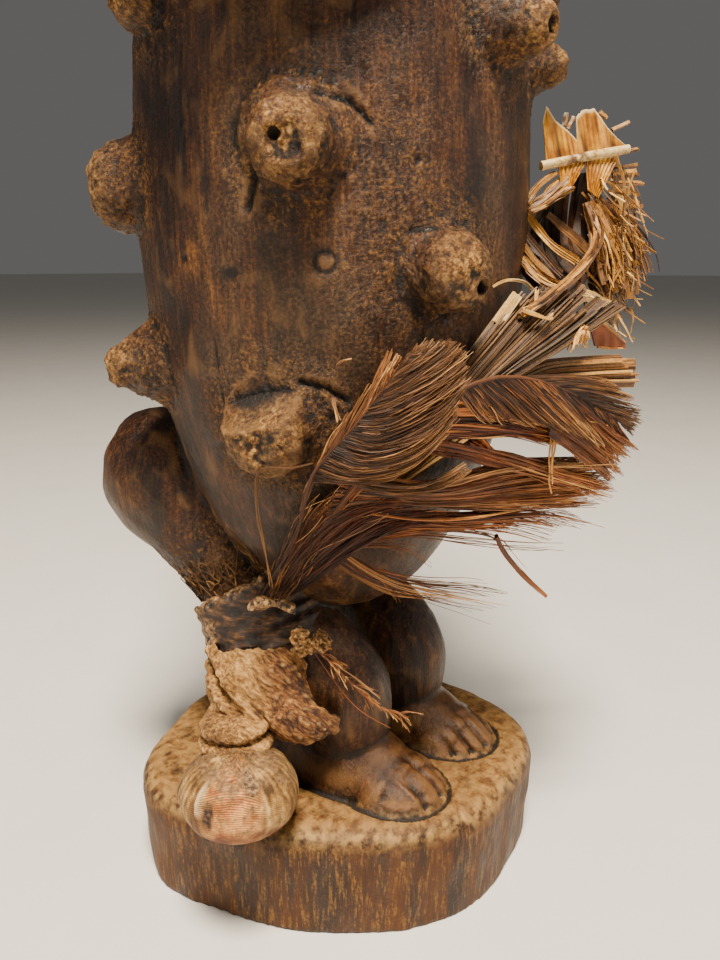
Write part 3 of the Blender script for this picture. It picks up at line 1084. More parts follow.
def face_out(piece, crease):
    # Faces turned outwards and shaded smooth up to an angle between them
    pick(piece)
    bpy.ops.object.mode_set(mode="EDIT")
    bpy.ops.mesh.select_all(action="SELECT")
    bpy.ops.mesh.normals_make_consistent(inside=False)
    bpy.ops.object.mode_set(mode="OBJECT")
    bpy.ops.object.shade_smooth_by_angle(angle=math.radians(crease))
    return piece


def weave_mesh(name, batches):
    # One mesh of all the strands, with what the materials read painted on its corners
    spots, faces, base = [], [], 0
    facts = {key: [] for key in ("tint", "along", "red", "side")}
    for batch in batches:
        count, points, corner, _ = batch["rings"].shape
        spots.append(batch["rings"].reshape(-1, 3))
        for key in facts:
            facts[key].append(batch[key].reshape(-1))
        strand, ring = np.arange(count)[:, None] * points, np.arange(corner)
        start = base + (strand[:, :, None] + np.arange(points - 1)[None, :, None]) * corner
        one, two = ring[None, None, :], (ring[None, None, :] + 1) % corner
        quads = np.stack([start + one, start + two, start + two + corner, start + one + corner],
                         3).reshape(-1, 4)
        faces.extend(quads.tolist())
        root = base + strand * corner + ring[None, ::-1]
        tip = base + strand * corner + (points - 1) * corner + ring[None, :]
        faces.extend(root.tolist())
        faces.extend(tip.tolist())
        base += count * points * corner
    spots = np.concatenate(spots)
    mesh = bpy.data.meshes.new(name)
    mesh.from_pydata((spots / 1000).tolist(), [], faces)
    mesh.update()
    piece = bpy.data.objects.new(name, mesh)
    bpy.context.collection.objects.link(piece)
    for key, values in facts.items():
        paint(piece, key, np.concatenate(values))
    return face_out(piece, 50)


def quill(guide, width, seed, red=0.0, taper=0.35):
    eight = [(math.cos(a), math.sin(a)) for a in np.arange(8) * math.pi / 4]
    return fibres([guide], 1, width, width, seed, points=24, ragged=0, lock=0, wander=0, puff=0, roll=0,
                  taper=taper, red=red, section=eight)


FRONT_SHAFT = [(-31.7, 8, 101.4), (-42.2, -10.6, 121.1), (-46.5, -20.3, 133.5), (-50.9, -26.4, 144.1),
               (-55.7, -33.5, 155.6), (-54.7, -42.3, 165.1), (-52.5, -48.3, 173.2),
               (-46.8, -54.2, 184.1)]
FRONT_RIGHT = [
    [(-46.8, -54.2, 184.1), (-46.3, -55, 185.6), (-45.2, -55.8, 187), (-44.3, -56.3, 188.4)],
    [(-49.6, -51.9, 179.3), (-47.3, -56.2, 183.1), (-43.1, -59.9, 186.8), (-38.4, -61.4, 189.9)],
    [(-52.3, -48.7, 173.7), (-49.6, -54.6, 176.4), (-41.9, -61.6, 182.2), (-33.6, -65.1, 187.8)],
    [(-54.2, -45, 168.1), (-51.5, -52.6, 168.3), (-43.3, -61.4, 174.4), (-33.1, -65.9, 181.8)],
    [(-55.8, -40.6, 162.8), (-52.8, -48.8, 160.7), (-44.5, -59.5, 165.1), (-34.6, -65.5, 175.9)],
    [(-55.7, -35.4, 157.2), (-53.1, -44.8, 155.3), (-45.5, -56.2, 158.2), (-36.7, -64, 168.9)],
    [(-54.3, -32.1, 152.4), (-52, -41, 152.7), (-47.2, -50.1, 154), (-40.1, -58.9, 162.2)],
]
FRONT_LEFT = [
    [(-46.8, -54.2, 184.1), (-47.1, -53.8, 184.8), (-47.4, -53.4, 185.6), (-47.7, -53, 186.3)],
    [(-52.5, -48.3, 173.2), (-50.9, -49.9, 178.1), (-48.9, -52, 182.9), (-46.9, -54.2, 186.8)],
    [(-54.7, -42.3, 165.1), (-52.9, -45, 171.2), (-50, -47.6, 177.8), (-47.7, -50.2, 182.7)],
    [(-55.4, -35.9, 158.5), (-53.9, -39.9, 165.2), (-52.2, -42.5, 170.1), (-49.2, -45.2, 176.5)],
    [(-54.4, -31.9, 153.5), (-54.6, -35.3, 160.1), (-53.3, -38.2, 165.2), (-51, -40.7, 169.2)],
]
FRONT_STRAY = [
    [(-55.1, -38.2, 160.6), (-53.1, -43, 166), (-50.6, -46.8, 174.8), (-45.7, -50.6, 188.7)],
    [(-51.4, -27.4, 146.1), (-53.8, -34.7, 158), (-53.1, -39.3, 164.3), (-51.1, -42.3, 171.5)],
    [(-51.1, -27.9, 147.8), (-53.6, -33.2, 155.7), (-53.4, -37, 160.9), (-51.6, -38, 166.4)],
    [(-46, -21.1, 136.4), (-51.4, -27.5, 148.9), (-52.2, -33.5, 155.9), (-51.2, -38.6, 160.7)],
]
FRONT_ROOT = [
    [(-31, 7, 100.7), (-37.6, -3.1, 113.8), (-43.8, -13.6, 128.4), (-47.6, -22.3, 140),
     (-50.5, -28.8, 149.4)],
    [(-30, 5.3, 100.7), (-37.4, -7, 116.5), (-42.9, -18.5, 130.6), (-46.1, -28.2, 142.1),
     (-46.2, -38.9, 150)],
    [(-28.7, 3.4, 101.1), (-36.1, -10.7, 117.6), (-42, -23.6, 131.3), (-43.1, -34.5, 142.9),
     (-40.3, -47.7, 151.6)],
    [(-27.2, 1.2, 101.8), (-34.9, -14.3, 117.3), (-39.8, -26.9, 129.8), (-39.7, -37.8, 140.3),
     (-35.9, -50.8, 148.9)],
]
THREAD = [
    [(-56.8, -33.8, 158.2), (-56.8, -26.5, 155.9), (-57.8, -17.8, 154.7), (-55.7, -13.7, 149.2),
     (-52.7, -11, 139.4), (-49, -9.4, 130.6), (-43.7, -6.4, 119.7), (-37.2, -1.8, 109.4)],
]
TORSO_STRAY = [
    [(-48.9, -34.9, 174.1), (-50.1, -36.6, 170.8), (-50.4, -38.1, 168.3)],
    [(-48.3, -35.8, 182.3), (-48.2, -37.6, 183.7), (-47.8, -40.1, 184.1)],
]
front = weave_mesh("front_feather", [
    quill(FRONT_SHAFT, 1.1, 11, 0.35),
    fibres(FRONT_RIGHT, 640, 0.30, 0.10, 12, ragged=0.13, lock=0.85, locks=34, wander=0.5, puff=0.7,
           tone=(-0.1, 0.8)),
    fibres(FRONT_RIGHT, 240, 0.22, 0.10, 13, ragged=0.2, start=0.1, lock=0.5, wander=1.2, puff=1.3,
           tone=(0.3, 1.2)),
    fibres(FRONT_LEFT, 210, 0.34, 0.12, 14, ragged=0.2, lock=0.8, locks=14, wander=0.7, puff=0.8,
           red=0.15, tone=(0.2, 1.2)),
    *[fibres([guide], 12, 0.34, 0.14, 15 + i, ragged=0.25, spread=1.0, wander=0.9, red=0.25,
             tone=(0.3, 1.2)) for i, guide in enumerate(FRONT_STRAY)],
    fibres(FRONT_ROOT, 300, 0.26, 0.12, 20, ragged=0.45, start=0.2, lock=0.5, wander=1.9, puff=2.0,
           points=18, red=0.3, tone=(-0.2, 0.6)),
    fibres(FRONT_ROOT, 70, 0.22, 0.12, 19, ragged=0.6, start=0.1, lock=0, wander=3.8, puff=3.6, points=22,
           tone=(0.5, 1.3)),
    fibres(THREAD, 3, 0.3, 0.26, 21, points=30, ragged=0.05, spread=0.5, wander=0.5, tone=(0.6, 1)),
    *[fibres([guide], 3, 0.4, 0.3, 22 + i, points=8, ragged=0.1, spread=0.5, wander=0.3, tone=(0.7, 1.1))
      for i, guide in enumerate(TORSO_STRAY)],
])

# Feather barbs of horn: smooth strands with a faint sheen, dark at the root and pale at the tips
barbs, tree, shader = finish("brown feather barbs", 0.6, Specular_IOR_Level=0.35)
tint, along, red = (add(tree, "Attribute", attribute_name=name) for name in ("tint", "along", "red"))
shade = weighed(tree, (tint, 0.6), (along, 0.4))
grey_brown = add(tree, "ValToRGB", {0: shade},
                 stops=[(0.1, "#140a04"), (0.35, "#392110"), (0.6, "#684322"), (0.82, "#a2713e"),
                        (1.0, "#dfb075")])
red_brown = add(tree, "ValToRGB", {0: shade},
                stops=[(0.1, "#170602"), (0.35, "#4b1c07"), (0.6, "#864112"), (0.82, "#bc702a"),
                       (1.0, "#eeb257")])
barb_colour = add(tree, "Mix", {0: red, 6: grey_brown, 7: red_brown}, data_type="RGBA")
share = add(tree, "ValToRGB", {0: cloud(tree, 9, 3)}, stops=[(0.45, 0.0), (0.65, 0.4)])
barb_colour = add(tree, "Mix", {0: share, 6: barb_colour, 7: "#25160b"}, data_type="RGBA")
tree.links.new(barb_colour, shader.inputs["Base Color"])
dress(front, barbs, "feather", "feather_front")


# Long feather. The longest feather, bent to the figure's left behind the trimmed one: the dark
# quill arches over a broad vane whose barbs slant down, red-orange underneath and ragged and pale
# at the end.
LONG_SHAFT = [(-29.5, 8.3, 100.9), (-39.8, -15.9, 123), (-45.3, -31.3, 140.6), (-45.5, -47.2, 159.9),
              (-38.3, -56.2, 170.2), (-31.3, -61.3, 175.9), (-21.2, -65.7, 178.2), (-14.2, -69, 178.4),
              (-1.5, -73.7, 175.7), (13.9, -78.9, 170), (29.8, -84.7, 162.2)]
LONG_UPPER = [
    [(-10.2, -70.5, 177.9), (2.4, -74.2, 177.3), (15.3, -79.2, 176), (26.9, -84, 173.9)],
    [(-1.5, -73.7, 175.7), (11.5, -78.8, 174.6), (24.3, -83.7, 172.3), (35.2, -87.4, 168.9)],
    [(6.2, -76.3, 173), (17.8, -81.1, 170.8), (29.2, -85.6, 167.9), (39.3, -90, 165.1)],
    [(15.8, -79.8, 168.9), (24.3, -83.6, 166.3), (33.8, -87.1, 163.4), (42.2, -90.8, 161.3)],
    [(24.8, -82.6, 164.6), (30.1, -85.2, 162.2), (36.5, -87.5, 159.6), (42.7, -89.7, 157.2)],
    [(29.8, -84.7, 162.2), (33.3, -86.3, 159.6), (37.8, -87.7, 156.8), (42, -88.6, 154)],
]
LONG_LOWER = [
    [(-31.3, -61.3, 175.9), (-27.6, -61.5, 172.5), (-22.6, -61.8, 168.6), (-17.5, -62.2, 165.2)],
    [(-23.1, -64.7, 177.8), (-15.6, -66.9, 172.5), (-6.8, -69.4, 165.9), (0.9, -71.9, 161.5)],
    [(-16.1, -68, 178.6), (-7.6, -71.7, 171.9), (3.2, -75.3, 164.4), (13.9, -78.8, 157.7)],
    [(-7.9, -71.3, 177.1), (0.6, -75, 170.5), (11.3, -78.5, 162.6), (22.1, -82.1, 154.2)],
    [(0.3, -74.6, 175), (8.7, -78.1, 168.3), (18.1, -81.5, 160.6), (28.4, -84.3, 152)],
    [(12.1, -77.9, 170.7), (18.7, -80.6, 165), (26.2, -82.9, 158.5), (35, -85.3, 150.3)],
    [(23.3, -82.1, 165.4), (28, -83.7, 161.1), (33.7, -85.2, 156.3), (39.4, -86.5, 150.3)],
    [(29.8, -84.7, 162.2), (33, -85.9, 158.4), (37.4, -87.1, 154.6), (41.6, -88, 151)],
]
LONG_UNDER = [
    [(-31.8, -57, 173.2), (-24.2, -61.2, 174.2), (2.9, -73.2, 167.1), (26.5, -83.3, 161)],
    [(-32.9, -55.3, 170.1), (-18.7, -62.3, 169.8), (3.8, -70.9, 163.9), (25.9, -80.7, 157.1)],
    [(-33.9, -53.8, 166.9), (-18.4, -60.9, 165.2), (2.3, -68.6, 160.9), (23.2, -78.3, 154.5)],
    [(-34.9, -52.3, 163.7), (-18.5, -58.9, 161), (-1.9, -65.8, 159.5), (18.7, -75.3, 153.3)],
]
LONG_STEM = [
    [(-29.2, 6, 102), (-39, -17.2, 124.3), (-44, -36.8, 145.8), (-40.9, -50.5, 159.4),
     (-34.1, -57.2, 166.2)],
    [(-30.2, 7.6, 102), (-40.9, -16.1, 124.6), (-45.8, -34, 143.5), (-46.1, -48.1, 161.4),
     (-36.8, -56.7, 172.8)],
]
LONG_SWEEP = [
    [(10.7, -77.6, 170.6), (18.1, -81.5, 164.6), (29, -85.2, 157.7), (41.3, -89.3, 151.6)],
    [(6.9, -75.5, 168.3), (17.1, -79.9, 160.9), (27.9, -83.7, 153.9), (41.3, -87.5, 146.7)],
    [(4.8, -74.1, 164), (14.6, -78, 157.5), (25.6, -81.9, 150.4), (41.1, -85.4, 141.9)],
    [(5.3, -73.1, 159.1), (13.5, -76.5, 153.8), (25.7, -80.3, 146.3), (41.2, -83.8, 136.9)],
]
EDGE_FILL = [
    [(10.6, -70.2, 172.3), (13.2, -72.3, 162.6), (17.4, -75, 154.2), (23.7, -79.1, 145.9)],
    [(18.4, -74.8, 171.7), (21.4, -77.4, 163.1), (25.7, -80.4, 153.9), (31.5, -83.7, 144.3)],
    [(27.1, -78.8, 169.8), (30.1, -81.5, 161.5), (34.2, -84.1, 152.9), (38, -86.1, 144.6)],
]
long_feather = weave_mesh("long_feather", [
    quill(LONG_SHAFT, 1.1, 31, 0.3),
    fibres(LONG_UPPER, 300, 0.38, 0.12, 32, ragged=0.26, lock=0.85, locks=20, wander=0.5, puff=0.7),
    fibres(LONG_LOWER, 640, 0.34, 0.12, 33, ragged=0.22, lock=0.85, locks=40, wander=0.5, puff=0.7,
           red=0.15, tone=(-0.1, 0.9)),
    fibres(LONG_LOWER, 90, 0.26, 0.12, 38, ragged=0.25, lock=0.5, wander=0.8, puff=1.0, red=0.4,
           tone=(0.6, 1.3)),
    fibres(EDGE_FILL, 120, 0.4, 0.14, 39, points=12, ragged=0.25, lock=0.6, wander=1.0, puff=1.4, red=0.6,
           tone=(0.2, 1.2)),
    fibres(LONG_SWEEP, 330, 0.42, 0.12, 36, ragged=0.24, lock=0.85, locks=18, wander=0.8, puff=1.2,
           red=0.5, tone=(0.2, 1.1)),
    fibres(LONG_UNDER, 260, 0.45, 0.15, 34, ragged=0.2, lock=0.5, wander=1.0, puff=1.0, red=1.0,
           tone=(0, 0.8)),
    fibres(LONG_UNDER, 26, 0.6, 0.2, 37, ragged=0.15, lock=0, wander=1.2, puff=1.6, red=0.9,
           tone=(0.9, 1.3)),
    fibres(LONG_STEM, 60, 0.4, 0.15, 35, ragged=0.3, lock=0.4, wander=0.8, puff=0.8, red=0.4),
])
dress(long_feather, barbs, "feather", "feather_long")


# Middle feather. A feather stripped to hanging barbs: grey strands over the top, orange and red-
# brown ones inside, all swept to the figure's left.
MIDDLE_UPPER = [
    [(-48.1, -39.6, 156.5), (-38.6, -46.7, 151.9), (-24.4, -53.7, 149.5), (-3.2, -62.1, 151.6),
     (18.1, -72.5, 150), (39.8, -85.3, 148.4)],
    [(-48.2, -37.7, 154.1), (-38.3, -45.3, 149.4), (-23.5, -53.3, 145.8), (-0.4, -62.7, 145.6),
     (19.6, -73, 144.7), (40.2, -84, 142.5)],
    [(-47.5, -33.3, 147.2), (-40.7, -41.7, 146.9), (-25, -51, 143.5), (0.5, -62.2, 140.4),
     (20.8, -72.9, 138.6), (40.3, -82.5, 136.9)],
    [(-45.8, -28.6, 137.4), (-43.2, -36.2, 143.2), (-33.1, -46, 143.5), (-11.4, -56.9, 138.4),
     (13.3, -68.9, 134.5), (40.9, -81.5, 130.4)],
]
MIDDLE_TOP = [
    [(-33, -53.4, 162.9), (-18.2, -59.5, 158.8), (-0.9, -67.3, 153), (19, -75.7, 145.8),
     (40.5, -84.6, 138.5)],
    [(-34.4, -51.2, 159.6), (-18.4, -57.2, 155.1), (0.2, -65.5, 148.9), (20.3, -73.9, 141.4),
     (41, -83.5, 133.5)],
]
MIDDLE_ROOT = [
    [(-29.7, 6.8, 101.3), (-39.1, -11.6, 121.9), (-44.4, -25.4, 135.3), (-43.7, -37.2, 144.4),
     (-33.3, -49.3, 145.2)],
    [(-28.4, 4.9, 101.3), (-37.5, -14.1, 120), (-41.7, -27.6, 132.6), (-40.1, -39.1, 141.8),
     (-25.8, -51.5, 142)],
    [(-27, 2.7, 102), (-36.3, -17.7, 119.1), (-38.7, -30.3, 130.1), (-34.5, -42.1, 138.5),
     (-18.2, -53.9, 138.7)],
    [(-26.3, -0.1, 103.2), (-34.6, -20.1, 117.8), (-35.5, -31.6, 127.3), (-29.9, -43.6, 135.2),
     (-13.9, -55, 136)],
]
CURL = [
    [(-50.4, -38, 154.6), (-42.9, -45.6, 151.6), (-33.3, -54.7, 151.1), (-20.7, -61.1, 155.5)],
    [(-48.9, -38.5, 152.2), (-39.7, -46.8, 147.8), (-29.1, -55.6, 148), (-18.5, -60.8, 152.7)],
]
BRIGHT = [
    [(-41.6, -42.3, 142.1), (-29.1, -50.2, 138.5), (-12.3, -57.4, 136), (2.6, -63.5, 135.1),
     (16.6, -70.1, 135.9)],
]
GAP_FILL = [
    [(-16, -51.9, 166.1), (-11.3, -55.3, 162.3), (-6.5, -58.9, 158.1), (-1.8, -62.4, 151.3)],
    [(-16.5, -51, 161.5), (-12, -54.2, 158.2), (-7.7, -57.1, 153.9), (-4.4, -60.2, 148.9)],
]
middle_feather = weave_mesh("middle_feather", [
    fibres(MIDDLE_UPPER, 360, 0.42, 0.15, 41, points=20, ragged=0.2, start=0.06, lock=0.7, locks=26,
           wander=1.4, puff=1.5, red=0.6, tone=(0.1, 1.1)),
    fibres(MIDDLE_UPPER, 190, 0.36, 0.15, 42, points=20, ragged=0.5, start=0.05, lock=0.7, locks=16,
           wander=1.6, puff=2.2, red=0.1, tone=(0.2, 1.2)),
    fibres(MIDDLE_TOP, 170, 0.45, 0.15, 43, points=16, ragged=0.25, start=0.2, lock=0.7, wander=1.6,
           puff=1.4, red=0.7, tone=(0.2, 1.2)),
    fibres(MIDDLE_ROOT, 330, 0.4, 0.14, 44, points=18, ragged=0.3, start=0.05, lock=0.5, wander=1.6,
           puff=2.0, red=0.8, tone=(-0.3, 0.4)),
    fibres(CURL, 90, 0.36, 0.12, 45, points=16, ragged=0.15, start=0.1, lock=0.6, wander=0.8, puff=0.8,
           tone=(0.2, 1.1)),
    fibres(BRIGHT, 4, 0.34, 0.2, 46, points=18, ragged=0.2, spread=0.5, wander=0.5, red=0.9,
           tone=(1.0, 1.3)),
    fibres(GAP_FILL, 70, 0.42, 0.15, 47, points=12, ragged=0.25, start=0.1, lock=0.6, wander=1.0,
           puff=1.2, red=0.9, tone=(0, 0.9)),
])
dress(middle_feather, barbs, "feather", "feather_middle")


# Low feather. The lowest feather, most of its barbs gone: one thin fan under the others and a few
# long wisps that curl down over the instep.
LOW_FAN = [
    [(-28.1, -6.6, 110), (-34.9, -28.8, 130.3), (-29.6, -44, 138.5), (-10.2, -55.1, 135.7),
     (19.2, -68.7, 132.1), (43.9, -78.7, 123.6)],
    [(-27.6, -5.4, 108.6), (-34.1, -28.2, 127.5), (-28.2, -42.5, 135.8), (-10.3, -53.2, 133.8),
     (14.2, -64.9, 129.4), (38.3, -74, 120.1)],
    [(-27.2, -4.2, 107.2), (-33.3, -25.8, 124.3), (-27.4, -40.1, 132.1), (-11.9, -50.8, 131.9),
     (7.5, -60.1, 127.4), (30.1, -68.9, 117.2)],
]
LOW_WISP = [
    [(-38.6, -23.2, 132.1), (-30.3, -30.2, 123), (-18.3, -37.6, 116.3), (-6.2, -45, 112.2),
     (9.4, -52.1, 108.3), (22.2, -58.8, 102.7)],
    [(-38.9, -22.7, 129.7), (-32.5, -28.8, 119.6), (-22, -35.6, 112.5), (-8.7, -43, 104.6),
     (7.9, -49.8, 95.7), (27, -60.6, 84.5)],
]
LOW_SPARSE = [
    [(-34.1, -22.7, 122.6), (-31.7, -33.6, 128.7), (-22.2, -42.5, 126.4), (-8.7, -46.6, 114.1)],
    [(-35.9, -34.6, 134.6), (-18.7, -47.8, 132.3), (5.5, -57.1, 125.1), (17.2, -60.3, 113.8),
     (31.8, -65.9, 97.8)],
    [(-34.9, -30.5, 129.1), (-23.7, -43.9, 131.5), (-3, -53.3, 125.8), (20.6, -63.5, 119),
     (43.4, -76.2, 114)],
    [(-17.4, -37.1, 113.9), (-5.2, -44.5, 109.5), (8.2, -52.1, 105.3), (26.9, -62.2, 97.5)],
    [(-34.9, -27, 126.2), (-28.1, -33.7, 119.9), (-16.5, -36.6, 106.9), (-19.9, -31.5, 103.5)],
]
WHITE_WISP = [
    [(-41, -25, 132.5), (-35.8, -29.3, 126), (-28.6, -34.7, 119), (-18.6, -40.6, 112.5),
     (-2.7, -48.3, 105.8), (16.6, -57.5, 97.9), (23.6, -60.8, 94.7)],
]
SIDE_WISP = [
    [(-33.6, -25.3, 121.1), (-27.5, -30.9, 115.3), (-19.1, -36.4, 109.7), (-8.7, -42.9, 106.3),
     (4.6, -50.4, 102.3)],
]
STUB_QUILL = [
    [(5.1, -58.3, 125.8), (10.3, -58.9, 119), (20, -60.8, 109.6), (32.7, -65.6, 97.7)],
]
low_feather = weave_mesh("low_feather", [
    fibres(LOW_FAN, 200, 0.42, 0.15, 51, points=20, ragged=0.4, start=0.05, lock=0.6, locks=14,
           wander=1.8, puff=2.0, red=0.8, tone=(0, 1.1)),
    fibres(LOW_WISP, 15, 0.28, 0.14, 52, points=22, ragged=0.3, lock=0, wander=1.6, puff=1.6, red=0.5,
           tone=(0.3, 1.2)),
    fibres(WHITE_WISP, 5, 0.36, 0.2, 60, points=22, ragged=0.3, spread=1.2, wander=1.2, red=0.2,
           tone=(0.9, 1.5)),
    fibres(SIDE_WISP, 7, 0.36, 0.2, 61, points=16, ragged=0.2, spread=1.2, wander=0.9, tone=(0.6, 1.3)),
    *[fibres([guide], 8, 0.3, 0.14, 53 + i, points=18, ragged=0.35, spread=1.8, wander=1.4, red=0.35,
             tone=(0.3, 1.1)) for i, guide in enumerate(LOW_SPARSE)],
    quill(STUB_QUILL[0], 1.6, 59, 0.8, 0.8),
    fibres(STUB_QUILL, 16, 0.3, 0.14, 62, ragged=0.3, spread=1.0, wander=0.6, red=0.8,
           tone=(0.3, 1.1)),
])
dress(low_feather, barbs, "feather", "feather_low")


# Down feather. A small reddish feather that hangs from the knot over the foot, with sparse, forked,
# pale barbs.
DOWN = [
    [(-35.4, -17.2, 93.1), (-35.1, -23.1, 89.9), (-34.5, -29.3, 85.4), (-33, -37.1, 79.7),
     (-27.8, -46.7, 74.9)],
    [(-35.4, -17.2, 91.7), (-35.5, -22.5, 86.5), (-35.2, -28.3, 80.7), (-34.7, -34.5, 76.4),
     (-30.8, -42.2, 71.5)],
]
down_shaft = even(DOWN[0], 12)
down = [quill(DOWN[0], 0.5, 61, 0.8), quill(DOWN[1], 0.4, 62, 0.8)]
down_rng = np.random.default_rng(63)
for i in range(46):
    root = down_shaft[int(down_rng.integers(1, 11))]
    way = np.array((0.30, -0.65, -0.62)) + down_rng.normal(0, 0.35, 3)
    far = down_rng.uniform(4, 11)
    down.append(fibres([[tuple(root), tuple(root + way * far * 0.5 + (0, 0, 0.8)),
                         tuple(root + way * far)]], 2, 0.24, 0.12, 64 + i, points=8, ragged=0.2,
                       spread=0.4, wander=0.4, red=0.3, tone=(0.5, 1.3)))
down_feather = weave_mesh("hanging_down", down)
dress(down_feather, barbs, "feather", "down_feather")


# Palm strips. Strips of dry palm leaf, pleated along their length and cut across, bound in behind
# the feathers so that they spread like a fan towards the straw.
PALM_FAN = [
    [(-33.5, -11, 119.4), (-33.7, -34.2, 148.2), (-22.6, -49.1, 168.2), (-14.9, -53.4, 178.8),
     (-7.2, -57.9, 188.9), (2.8, -62, 199.9)],
    [(-33.5, -11, 119.4), (-33.4, -34.7, 147.9), (-21.7, -50.5, 168.5), (-13.4, -55.7, 180.2),
     (-5.1, -61.1, 190.8), (7.8, -65.9, 201.5)],
    [(-33.2, -11.5, 119.4), (-33.1, -35.1, 147.3), (-20.8, -51.8, 168.8), (-11.9, -58, 179.9),
     (-1, -63.5, 191), (14.2, -68.5, 202.3)],
    [(-33.2, -11.5, 119.4), (-32.8, -35.6, 146.7), (-19.9, -53.2, 169.1), (-9.1, -60.4, 179.8),
     (3.3, -66.5, 190.6), (20.5, -72.5, 202.8)],
    [(-32.8, -12, 119.4), (-31.6, -35.5, 145.9), (-17.9, -54.4, 169.2), (-6.3, -62.8, 179.7),
     (7.7, -69.4, 189.3), (26.5, -76, 201)],
    [(-32.8, -12, 119.4), (-31.3, -36, 145.3), (-16.9, -56, 169.5), (-3.5, -65.2, 179.3),
     (12, -72.4, 187.1), (32.6, -79.8, 197.7)],
    [(-32.5, -12.5, 119.4), (-31, -36.5, 144.7), (-15, -56.9, 169.9), (-0.4, -66.3, 178.2),
     (16.8, -74.1, 185.7), (39.4, -82.9, 194.9)],
]
CREAM_TIPS = [
    [(24.2, -69, 198.3), (30.3, -72.7, 200), (36.7, -77, 196.9), (43.8, -82.3, 194.4)],
    [(22.7, -68.5, 196), (30, -72.4, 197), (36.4, -76.6, 195.4), (41.8, -81, 193.8)],
]
CUT_CHIP = [
    [(-6, -59.6, 191.9), (-3.5, -61.6, 196), (-1, -63.6, 200.3)],
    [(-4.3, -60.4, 191.1), (-1.6, -62.6, 195.4), (0.8, -64.4, 199.2)],
]
CHIP_FRAY = [
    [(21.3, -75.5, 190.2), (18.5, -74.8, 188), (16.9, -73.4, 185.4), (16.7, -72.2, 183)],
    [(21.8, -76.2, 190.5), (19.6, -75.7, 187.9), (18.6, -75, 185.1), (19.3, -74.3, 182.3)],
    [(22.9, -77.1, 190.4), (21.9, -77.3, 187.9), (22.5, -77.3, 185.2), (23.2, -76.6, 182.7)],
]
SLIVER = [
    [(8.2, -72, 158.2), (7.2, -72.4, 153), (7.6, -73, 145.3), (9.7, -74.3, 137)],
    [(12.1, -74.3, 157.8), (11.6, -73.5, 152.3), (10.3, -73.4, 147.9)],
]
CHIP_TOP = [(31.5, -74.6, 188.9), (33.9, -76.4, 190.7), (44.8, -81.9, 183.4)]
CHIP_FOOT = [(32.4, -76, 183.2), (36.7, -77.8, 182.8), (40.9, -79.7, 182.2), (45.3, -81.8, 181.8)]
CHIP_EDGE = [
    [(35, -76.2, 182.7), (40.4, -78.9, 181.9), (45.9, -81.9, 181.8)],
    [(33.5, -76.5, 191), (39.3, -79.2, 187.3), (45.2, -82.2, 183.3)],
]


def panel(name, top, foot, columns, rows, pleats, depth, thickness):
    out = np.array((*VIEW_FRONT, 0.1))
    high, low = polyline(top, columns), np.array(even(foot, columns))
    share = np.linspace(0, 1, rows)[:, None, None]
    sheet = high[None] * (1 - share) + low[None] * share
    wave = np.abs(np.modf(np.linspace(0, pleats, columns))[0] * 2 - 1) - 0.5
    sheet = sheet + out * (wave * depth)[None, :, None] * (0.25 + 0.75 * share)
    fray = np.random.default_rng(len(name)).uniform(0, 0.7, columns)
    sheet = sheet - (sheet - low[None]) * (fray / 26)[None, :, None]
    faces = [(r * columns + c, r * columns + c + 1, (r + 1) * columns + c + 1, (r + 1) * columns + c)
             for r in range(rows - 1) for c in range(columns - 1)]
    mesh = bpy.data.meshes.new(name)
    mesh.from_pydata((sheet.reshape(-1, 3) / 1000).tolist(), [], faces)
    piece = bpy.data.objects.new(name, mesh)
    bpy.context.collection.objects.link(piece)
    paint(piece, "fold", np.tile(wave + 0.5, rows))
    paint(piece, "down", np.repeat(share.ravel(), columns))
    modify(piece, "SOLIDIFY", thickness=thickness / 1000, offset=0)
    return face_out(piece, 35)


palm = weave_mesh("palm_leaf_strips", [
    fibres(SLIVER, 3, 1.0, 0.4, 77, ragged=0.1, lock=0, wander=0.3, puff=0.4, taper=0.5, red=0.9,
           tone=(0.2, 0.7)),
    fibres(PALM_FAN, 24, 2.1, 0.5, 71, points=26, ragged=0.07, lock=0, wander=0.5, puff=1.2, taper=0.95,
           roll=0.4, section=PLEAT, tone=(-0.2, 0.8)),
    fibres(PALM_FAN, 60, 0.6, 0.4, 72, points=26, ragged=0.12, start=0.2, lock=0.3, wander=0.8, puff=1.4,
           taper=0.8, roll=0.4, tone=(-0.2, 0.9)),
    fibres(CREAM_TIPS, 16, 0.9, 0.5, 73, ragged=0.2, lock=0.2, wander=0.5, puff=0.8, taper=0.8, red=1.0,
           tone=(0.7, 1.3)),
    fibres(CUT_CHIP, 3, 1.9, 1.0, 74, ragged=0.05, lock=0, wander=0.1, puff=0.2, taper=0.95, roll=0.2,
           red=1.0, tone=(0.5, 1.2)),
    fibres(CHIP_FRAY, 30, 0.7, 0.4, 75, ragged=0.45, start=0.4, lock=0.5, locks=7, wander=1.0, puff=1.6,
           red=1.0, tone=(0.1, 1.2)),
    *[fibres([guide], 2, 0.55, 0.4, 78 + i, ragged=0.1, spread=0.3, wander=0.2, red=1.0, tone=(0.1, 0.8))
      for i, guide in enumerate(CHIP_EDGE)],
])

chip = panel("chip_leaf", CHIP_TOP, CHIP_FOOT, 40, 10, 3, 1.3, 0.4)
for key, value in (("tint", -0.5), ("along", 0.5), ("red", 1.0), ("side", 0.0)):
    paint(chip, key, np.full(len(chip.data.vertices), value))
palm = join([palm, chip])

